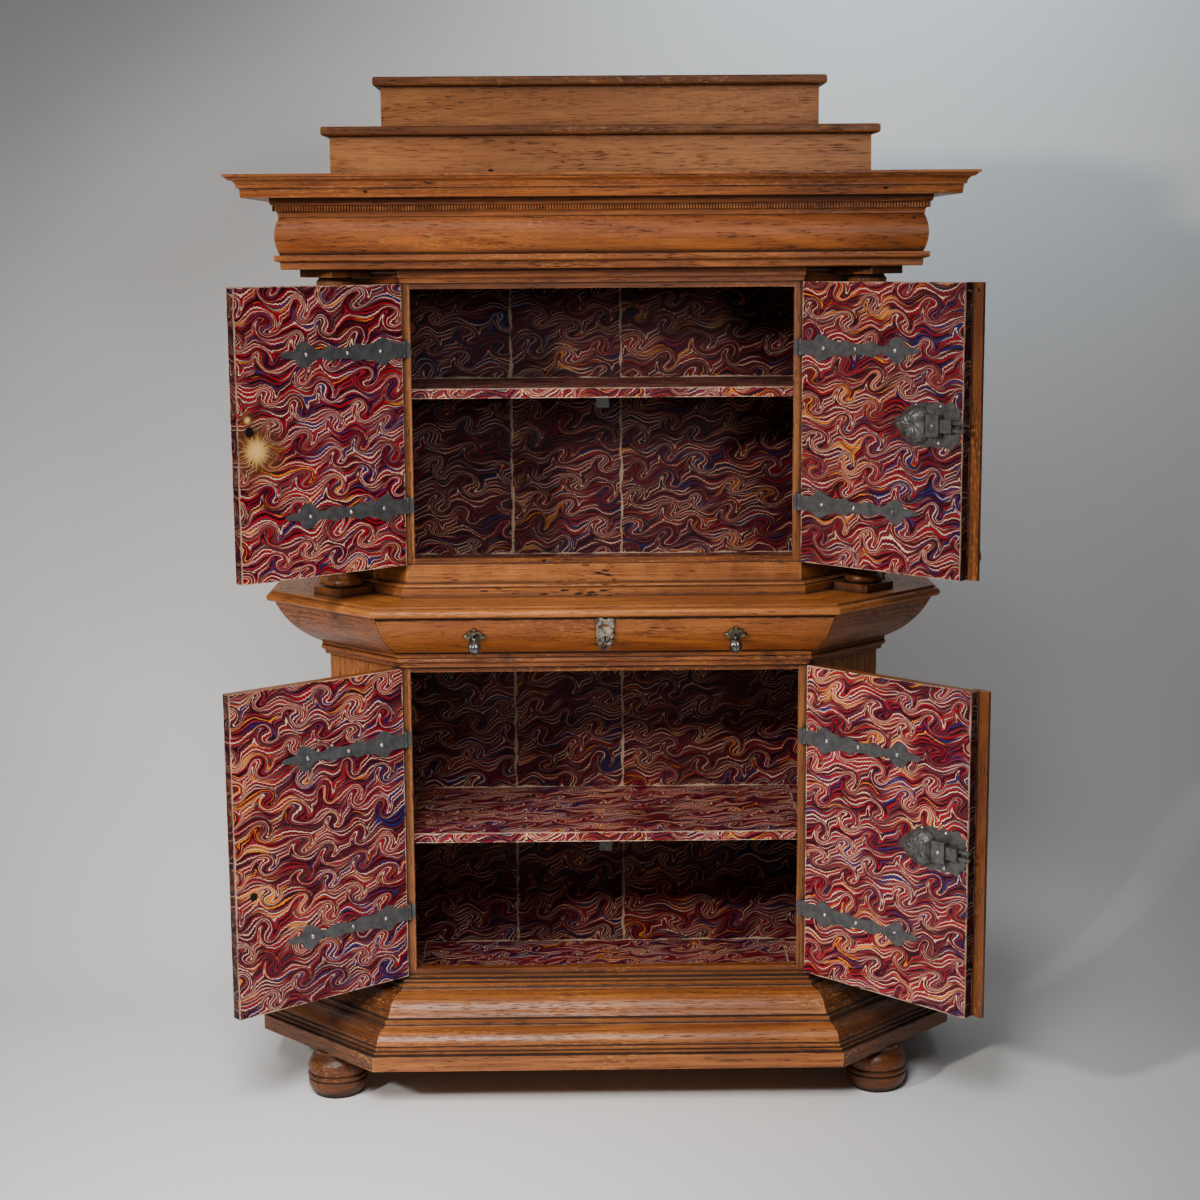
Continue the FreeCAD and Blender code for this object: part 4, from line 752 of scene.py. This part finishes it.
# Box locks. Filed iron: a scalloped plate, a box and a nose over the double bolt, and a domed
# cover chased with leaves, nailed to the door; a thin plate closes each meeting edge.
lock_iron = iron("filed lock iron", (0.06, 0.059, 0.058), (0.135, 0.132, 0.128), 0.42)
chased_iron = iron("chased lock iron", (0.045, 0.044, 0.043), (0.17, 0.166, 0.16), 0.36, chasing=0.0026)
LOCK_RISES = {"upper": 1.399, "lower": 0.575}
DOME_START, DOME_LENGTH, DOME_HALF, DOME_HEART, PLATE_THICK = 0.075, 0.086, 0.038, 0.35, 0.002
DOME_EDGE = [(0, 0.30), (0, 0.6), (0.13, 0.84), (0.28, 1.0), (0.43, 0.92), (0.58, 0.78),
             (0.72, 0.55), (0.81, 0.34), (0.9, 0.17), (1.0, 0.0)]
EDGE_PARTS = 5
DOME_RINGS = [1.012, 0.99, 0.96, 0.91, 0.85, 0.78, 0.7, 0.62, 0.53, 0.44, 0.35, 0.26, 0.17, 0.08, 0.01]
LEAF_DEEP, VEIN_DEEP, CHASED_LOW = 0.0022, 0.0012, -0.0003
DOME_RISE = [(0, 0.0208), (0.4, 0.0206), (0.62, 0.0197), (0.86, 0.0148), (0.97, 0.0078), (1.0, 0.0002)]
LOCK_NAILS = [(0.108, 0.036, 0), (0.051, 0.036, 0), (0.126, -0.027, 0), (0.054, -0.034, 0),
              (0.058, 0, 0.017)]
LOCK_NAIL_RADIUS = 0.0042
FOREND_HALF, FOREND_WIDE, FOREND_THICK = 0.040, 0.018, 0.0005
edge_points = DOME_EDGE + [(u, -v) for u, v in reversed(DOME_EDGE[:-1])]
dome_edge = []
for (u0, v0), (u1, v1) in zip(edge_points, edge_points[1:] + edge_points[:1]):
    for part in range(EDGE_PARTS):
        share = part / EDGE_PARTS
        dome_edge.append((u0 + (u1 - u0) * share, v0 + (v1 - v0) * share))
for storey, lock_z in LOCK_RISES.items():
    door = f"{storey}_right"
    dress(lock_iron, f"{door}_lock", f"{door}_bolt")
    low, high = closed_box(door)
    base_y = high.y + PLATE_THICK
    heart = Vector((low.x + DOME_START + DOME_HEART * DOME_LENGTH, base_y, lock_z))
    points = []
    for ring in DOME_RINGS:
        for index, (u, v) in enumerate(dome_edge):
            edge_point = Vector((low.x + DOME_START + u * DOME_LENGTH, base_y, lock_z + v * DOME_HALF))
            angle = 2 * math.pi * index / len(dome_edge)
            chased = LEAF_DEEP * abs(math.sin(6 * angle + 5.5 * ring))
            chased += VEIN_DEEP * math.sin(21 * ring + 2 * math.cos(4 * angle))
            chased *= max(0, 1 - abs(ring - 0.5) / 0.45)
            point = heart + (edge_point - heart) * ring
            point.y = base_y + between(DOME_RISE, min(ring, 1)) + max(chased, CHASED_LOW)
            points.append(point)
    faces = grid_faces(len(dome_edge), len(DOME_RINGS) - 1, closed=True)
    faces += [tuple(range(len(points) - len(dome_edge), len(points)))]
    dome = mesh_object(f"{door}_lock_leaf", points, faces, chased_iron, smooth=True)
    dome.data.transform(door_turn(door))
    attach(dome, f"{door}_door")
    places = [(low.x + u, base_y + lift, lock_z + v) for u, v, lift in LOCK_NAILS]
    nail_heads(f"{door}_lock_nails", door, places, LOCK_NAIL_RADIUS)
    for door, free in ((f"{storey}_right", -1), (f"{storey}_left", 1)):
        low, high = closed_box(door)
        edge_x = low.x if free < 0 else high.x
        middle = Vector((edge_x, high.y - FOREND_WIDE / 2, lock_z))
        points = [middle + Vector((free * lift, y * FOREND_WIDE / 2 * shrink, z * FOREND_HALF * shrink))
                  for lift, shrink in ((0, 1.0), (FOREND_THICK, 0.985), (FOREND_THICK, 0.9))
                  for y, z in ((free, -1), (free, 1), (-free, 1), (-free, -1))]
        faces = grid_faces(4, 2, closed=True) + [(8, 9, 10, 11)]
        forend = mesh_object(f"{door}_edge_plate", points, faces, lock_iron)
        forend.data.transform(door_turn(door))
        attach(forend, f"{door}_door")


# Marbled lining. Sheets of hand-combed paper pasted on the door backs, walls and shelves; their
# rims are rubbed pale, the seams have opened and the keyhole side of one door is scratched.
CURL_PITCH, CURL_ROW, WAVE_HEIGHT = 0.144, 0.066, 0.006
CURL_WIDE, CURL_TALL, CURL_TURN, CURL_STRAY = 0.031, 0.030, 2.0, (0.016, 0.012, 0)
LINE_PITCH, THREAD_PITCH, COMB_PITCH = 0.0084, 0.0066, 0.0034
CRIMSON, MAROON, MAUVE = (0.34, 0.0008, 0.012), (0.06, 0.001, 0.010), (0.20, 0.030, 0.06)
INDIGO, ORANGE = (0.02, 0.012, 0.13), (0.85, 0.22, 0.008)
CREAM, LINE_DARK = (1.0, 0.63, 0.43), (0.008, 0.001, 0.003)


def stir(g, vector, shift):
    """Turns the colours about the middle of every cell, most at the middle itself."""
    cell = g.vector_math("ADD", g.scaled(vector, (1 / CURL_PITCH, 1 / CURL_ROW, 0)), shift)
    corner = g.vector_math("FLOOR", cell)
    chance = g.put(g.node("ShaderNodeTexWhiteNoise", noise_dimensions="2D"), Vector=corner)
    local = g.vector_math("SUBTRACT", g.vector_math("SUBTRACT", cell, corner), (0.5, 0.5, 0))
    local = g.scaled(local, (CURL_PITCH, CURL_ROW, 0))
    stray = g.scaled(g.vector_math("SUBTRACT", chance.outputs["Color"], (0.5, 0.5, 0)), CURL_STRAY)
    local = g.vector_math("SUBTRACT", local, stray)
    reach = g.vector_math("LENGTH", g.scaled(local, (1 / CURL_WIDE, 1 / CURL_TALL, 0)))
    strength = g.linear(chance.outputs["Value"], 0.35 * CURL_TURN, 0.82 * CURL_TURN)
    rotate = g.put(g.node("ShaderNodeVectorRotate", rotation_type="Z_AXIS"), Vector=local,
                   Angle=g.times(g.step(reach, 1.0, 0.25), strength))
    return g.vector_math("ADD", g.vector_math("SUBTRACT", vector, local), rotate.outputs[0])


def marbling_group():
    """Colours combed into wavy lines and stirred into staggered curls; the vector is in metres."""
    tree, g, given, result = new_tree(
        "combed marbling", [("Vector", "vector"), ("Tint", "value")], [("Color", "colour")])
    wander = g.noise(given["Vector"], 6.0, 1, 0.5, output="Color")
    wander = g.vector_math("SUBTRACT", wander, (0.5, 0.5, 0.5))
    moved = g.vector_math("ADD", given["Vector"], g.scaled(wander, (0.07, 0.055, 0)))
    moved = stir(g, stir(g, moved, (0, 0, 0)), (0.5, 0.5, 0))
    along, across, _ = g.split(moved)
    wave = g.math("SINE", g.times(along, 4 * math.pi / CURL_PITCH))
    across = g.linear(wave, WAVE_HEIGHT, across)
    across = g.linear(g.math("PINGPONG", along, COMB_PITCH), 0.42, across)
    across = g.linear(g.noise(moved, 55, 2, 0.5), 0.006, across)

    def streak(length, width, place, detail=1.0):
        drawn = g.join(g.times(along, length), g.times(across, width), place)
        return g.noise(drawn, 1.0, detail, 0.6)

    def thread(pitch, place):
        drawn = g.linear(across, 1 / pitch, g.times(streak(4, 45, place), 1.3))
        return g.math("PINGPONG", drawn, 0.5)

    drift = g.linear(g.noise(given["Vector"], 4.5, 1, 0.5), 0.3, -0.15)
    tint = g.math("ADD", given["Tint"], drift)
    colour = g.blend(g.step(streak(6, 200, 1.3, 2.0), 0.46, 0.53), CRIMSON, MAROON)
    colour = g.blend(g.step(thread(THREAD_PITCH, 4.1), 0.13, 0.07), colour, MAUVE)
    blue = g.math("SUBTRACT", streak(9, 120, 9.7, 2.0), tint)
    colour = g.blend(g.step(blue, 0.60, 0.63), colour, INDIGO)
    warm = g.math("ADD", streak(9, 130, 15.2, 2.0), tint)
    colour = g.blend(g.step(warm, 0.65, 0.68), colour, ORANGE)
    line = thread(LINE_PITCH, 27.8)
    colour = g.blend(g.times(g.step(line, 0.27, 0.19), 0.97), colour, LINE_DARK)
    bright = g.step(streak(9, 60, 33.1), 0.42, 0.58)
    colour = g.blend(g.times(g.step(line, 0.14, 0.085), bright), colour, CREAM)
    g.feed(result["Color"], colour)
    return tree


MARBLING = marbling_group()
STAIN, SCUFFED = (0.05, 0.01, 0.01), (0.36, 0.17, 0.11)
RIM_DULL, RIM_LIT = (0.33, 0.24, 0.16), (0.25, 0.18, 0.12)
SCRATCHED, BARE, BARE_PALE = (0.10, 0.045, 0.012), (0.36, 0.17, 0.045), (0.82, 0.50, 0.17)
HOLE_BLACK, PAPER_GLOSS = (0.008, 0.006, 0.005), 0.18


def marbled_paper(name, shade, bursts=(), holes=(), rubbed=0.0016):
    """Marbled paper in its own sheet coordinates, darkened as a whole by its shade, a painted light
    level: rubbed rims, scuffs and browning, bursts scratched bare round a keyhole and dark holes,
    each given as (across, up, reach)."""
    material, g, shader = new_finish(name)
    sheet = g.place("UV")
    rim, tint = (g.node("ShaderNodeAttribute", attribute_name=label).outputs["Fac"]
                 for label in ("rim", "tint"))
    group = g.put(g.node("ShaderNodeGroup", node_tree=MARBLING), Vector=sheet, Tint=tint)

    def shaded(lit, start=(0, 0, 0)):
        return tuple(low + part * shade for low, part in zip(start, lit))

    # Painted light and shade: the whole sheet is darkened by its shade, a painted light level.
    colour = g.blend(1.0, group.outputs["Color"], (shade, shade, shade), "MULTIPLY")
    stain = g.step(g.noise(sheet, 3.4, 3, 0.6), 0.45, 0.8)
    colour = g.blend(g.times(stain, 0.4), colour, shaded(STAIN))
    grit = g.noise(sheet, 150, 4, 0.7)
    scuff = g.linear(g.noise(sheet, 14, 4, 0.7), 0.6, g.times(grit, 0.4))
    scuff = g.step(scuff, 0.61, 0.69)
    colour = g.blend(g.times(scuff, 0.25), colour, shaded(SCUFFED))
    ragged = g.linear(grit, 0.006, g.math("SUBTRACT", rim, 0.003 + 2.4 * rubbed))
    ragged = g.linear(g.noise(sheet, 24, 2, 0.5), 4.8 * rubbed, ragged)
    worn = g.times(g.step(ragged, rubbed, rubbed * 0.2), 0.9)
    colour = g.blend(worn, colour, shaded(RIM_LIT, RIM_DULL))
    for x, y, reach in bursts:
        away = g.vector_math("SUBTRACT", sheet, (x, y, 0))
        across, up, _ = g.split(away)
        turned = g.times(g.math("ARCTAN2", up, across), 6.0)
        rays = g.step(g.noise(g.join(turned, 0.0, 0.0), 1.0, 3, 0.85), 0.34, 0.66)
        spread = g.math("DIVIDE", g.vector_math("LENGTH", away), reach)
        hatch = g.noise(sheet, 900, 3, 0.7)
        bare = g.step(g.linear(rays, -0.9, g.linear(hatch, 0.5, spread)), 0.7, 0.45)
        scratched = g.times(g.step(spread, 2.4, 0.9), g.step(hatch, 0.35, 0.6))
        colour = g.blend(scratched, colour, SCRATCHED)
        colour = g.blend(bare, colour, g.blend(g.step(spread, 1.1, 0.1), BARE, BARE_PALE))
    for x, y, reach in holes:
        away = g.vector_math("SUBTRACT", sheet, (x, y, 0))
        spread = g.math("DIVIDE", g.vector_math("LENGTH", away), reach)
        colour = g.blend(g.step(g.linear(grit, 0.5, spread), 1.35, 1.1), colour, HOLE_BLACK)
    g.put(shader, Base_Color=colour, Roughness=g.linear(scuff, 0.2, 0.5),
          Specular_IOR_Level=PAPER_GLOSS)
    g.relief(shader, 0.22, 0.0008, g.noise(sheet, 42, 5, 0.6))
    return material


PAPER_LIFT, PAPER_THICK, PAPER_CELL = 0.0006, 0.00048, 0.03
RIM_LINES, SHEET_GAP = (0.0, 0.003, 0.010), 0.0006


def ruled(length):
    """Places of the grid lines across a sheet: close at the rims, wide between them."""
    count = max(1, round((length - 2 * RIM_LINES[-1]) / PAPER_CELL))
    middle = [RIM_LINES[-1] + (length - 2 * RIM_LINES[-1]) * step / count for step in range(1, count)]
    return list(RIM_LINES) + middle + [length - place for place in reversed(RIM_LINES)]


def lining(name, sheets, body, material, turn=None):
    """Pasted sheets as one piece. A sheet is its first corner, its two edges, its place in the
    pattern and its tint at either end."""
    chance = random.Random(name)
    points, faces, uvs, marks = [], [], [], {"rim": [], "tint": []}
    for corner, across, rise, start, tint in sheets:
        wide, tall = across.length, rise.length
        lift = across.cross(rise).normalized() * PAPER_LIFT
        columns, rows = ruled(wide), ruled(tall)
        first = len(points)
        faces += [tuple(first + index for index in face)
                  for face in grid_faces(len(columns) - 1, len(rows) - 1)]
        for v in rows:
            for u in columns:
                rim = min(u, wide - u, v, tall - v)
                tear = SHEET_GAP * chance.random() if rim == 0 else 0
                inward_u = min(max(u, tear), wide - tear)
                inward_v = min(max(v, tear), tall - tear)
                points.append(corner + across * (inward_u / wide) + rise * (inward_v / tall) + lift)
                uvs.append((start[0] + inward_u, start[1] + inward_v))
                marks["rim"].append(rim)
                marks["tint"].append(tint[0] + (tint[1] - tint[0]) * u / wide)
    piece = mesh_object(name, points, faces, material)
    layer = piece.data.uv_layers.new(name="sheet")
    for loop in piece.data.loops:
        layer.data[loop.index].uv = uvs[loop.vertex_index]
    for label, values in marks.items():
        piece.data.attributes.new(label, "FLOAT", "POINT").data.foreach_set("value", values)
    if turn is not None:
        piece.data.transform(turn)
    thicken = piece.modifiers.new("paper thickness", "SOLIDIFY")
    thicken.thickness = PAPER_THICK
    thicken.offset = -1
    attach(piece, body)


# Painted light levels: paper darkened inside the case and on the door edges as painted shade, brighter
# on the shelves as painted light.
inner_paper = marbled_paper("marbled paper inside", 0.46, rubbed=0.0032)
shelf_paper = marbled_paper("marbled paper on the shelves", 0.85)
edge_paper = marbled_paper("paper on the door edges in painted shade", 0.3)
TALL, DOOR_STEP, BACK_STEP = Vector((0, 0, 1)), (0.613, 0.377), (0.07, 0.13)
EDGE_START, BOARD_START, END_START, WALL_START = (0.1, 0.4), (0.1, 0.9), (0.7, 1.3), (0.5, 0.2)
DOOR_TINT, BACK_TINT, EDGE_TINT, PLAIN = (0.05, -0.03), (0.03, -0.03), (0.05, 0.05), (0, 0)
# Painted light levels of the four doors' paper: lit and shaded copies of one paper.
PAINTED_DOOR_LIGHT = {"upper_left": 1.0, "upper_right": 0.86, "lower_left": 0.86, "lower_right": 1.08}
BURSTS = {"upper_left": [(0.040, 0.254, 0.034), (0.022, 0.314, 0.009)]}
HOLES = {"upper_left": [(0.026, 0.291, 0.010)], "lower_left": [(0.040, 0.243, 0.009)]}
for order, (door, sign) in enumerate(DOORS.items()):
    low, high = closed_box(door)
    rise, wide = TALL * (high.z - low.z), high.x - low.x
    pattern = tuple(order * part for part in DOOR_STEP)
    spots = [[(pattern[0] + x, pattern[1] + y, reach) for x, y, reach in marks.get(door, ())]
             for marks in (BURSTS, HOLES)]
    paper = marbled_paper(f"marbled paper on the {door} door", PAINTED_DOOR_LIGHT[door], *spots)
    sheet = (Vector((high.x, high.y, low.z)), Vector((-wide, 0, 0)), rise, pattern, DOOR_TINT)
    lining(f"{door}_door_lining", [sheet], f"{door}_door", paper, door_turn(door))
    free_x, first_y, last_y = (low.x, high.y, low.y) if sign > 0 else (high.x, low.y, high.y)
    sheet = (Vector((free_x, first_y, low.z)), Vector((0, last_y - first_y, 0)), rise, pattern, PLAIN)
    lining(f"{door}_edge_lining", [sheet], f"{door}_door", edge_paper, door_turn(door))

SEAMS, RAIL = (-0.434, -0.195, 0.044), 0.020
for storey, corner_x, front_y in (("upper", UPPER_CORNER, UPPER_FRONT),
                                  ("lower", LOWER_CORNER, LOWER_FRONT)):
    back_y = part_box(f"{storey}_back_boards")[0].y
    floor_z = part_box(f"{storey}_floor")[1].z
    shelf_low, shelf_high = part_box(f"{storey}_shelf")
    ceiling_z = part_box("drawer_deck")[0].z if storey == "lower" else deck_low.z
    side_x = CASE_HALF - WALL
    inner_line = corner_x - WALL * math.sqrt(2)
    seams = [-side_x, *SEAMS, side_x]
    backs, walls = [], []
    for z0, z1 in ((floor_z, shelf_low.z), (shelf_high.z, ceiling_z)):
        rise = TALL * (z1 - z0)
        for index, (left, right_x) in enumerate(zip(seams, seams[1:])):
            backs.append((Vector((left, back_y, z0)), Vector((right_x - left, 0, 0)), rise,
                          (left + BACK_STEP[0] * index, z0 + BACK_STEP[1] * index), BACK_TINT))
        for sign in (-1, 1):
            ends = [Vector((sign * (corner_x - STILE), front_y + corner_x - STILE - inner_line, z0)),
                    Vector((sign * side_x, front_y + side_x - inner_line, z0)),
                    Vector((sign * side_x, back_y, z0))]
            for index, (first, last) in enumerate(zip(ends, ends[1:])):
                if sign > 0:
                    first, last = last, first
                start = (WALL_START[0] * sign + index, z0 + WALL_START[1])
                walls.append((first, last - first, rise, start, PLAIN))
    lining(f"{storey}_back_lining", backs, "case", inner_paper)
    lining(f"{storey}_wall_lining", walls, "case", inner_paper)
    shelf_half = inner_line + shelf_low.y - front_y
    edge_rise = TALL * (shelf_high.z - shelf_low.z)
    boards = [(Vector((-shelf_half, shelf_low.y, shelf_low.z)), Vector((2 * shelf_half, 0, 0)),
               edge_rise, EDGE_START, EDGE_TINT)]
    for top, front_edge in ((shelf_high.z, shelf_low.y), (floor_z, front_y + RAIL)):
        half = inner_line + front_edge - front_y
        deep, back = side_x - half, back_y - front_edge
        boards.append((Vector((-half, front_edge, top)), Vector((2 * half, 0, 0)),
                       Vector((0, back, 0)), (BOARD_START[0], BOARD_START[1] + top), PLAIN))
        for sign in (-1, 1):
            corner = Vector((-side_x if sign < 0 else half, front_edge + deep, top))
            boards.append((corner, Vector((deep, 0, 0)), Vector((0, back - deep, 0)),
                           (END_START[0] * sign, END_START[1] + top), PLAIN))
    lining(f"{storey}_shelf_lining", boards, "case", shelf_paper)
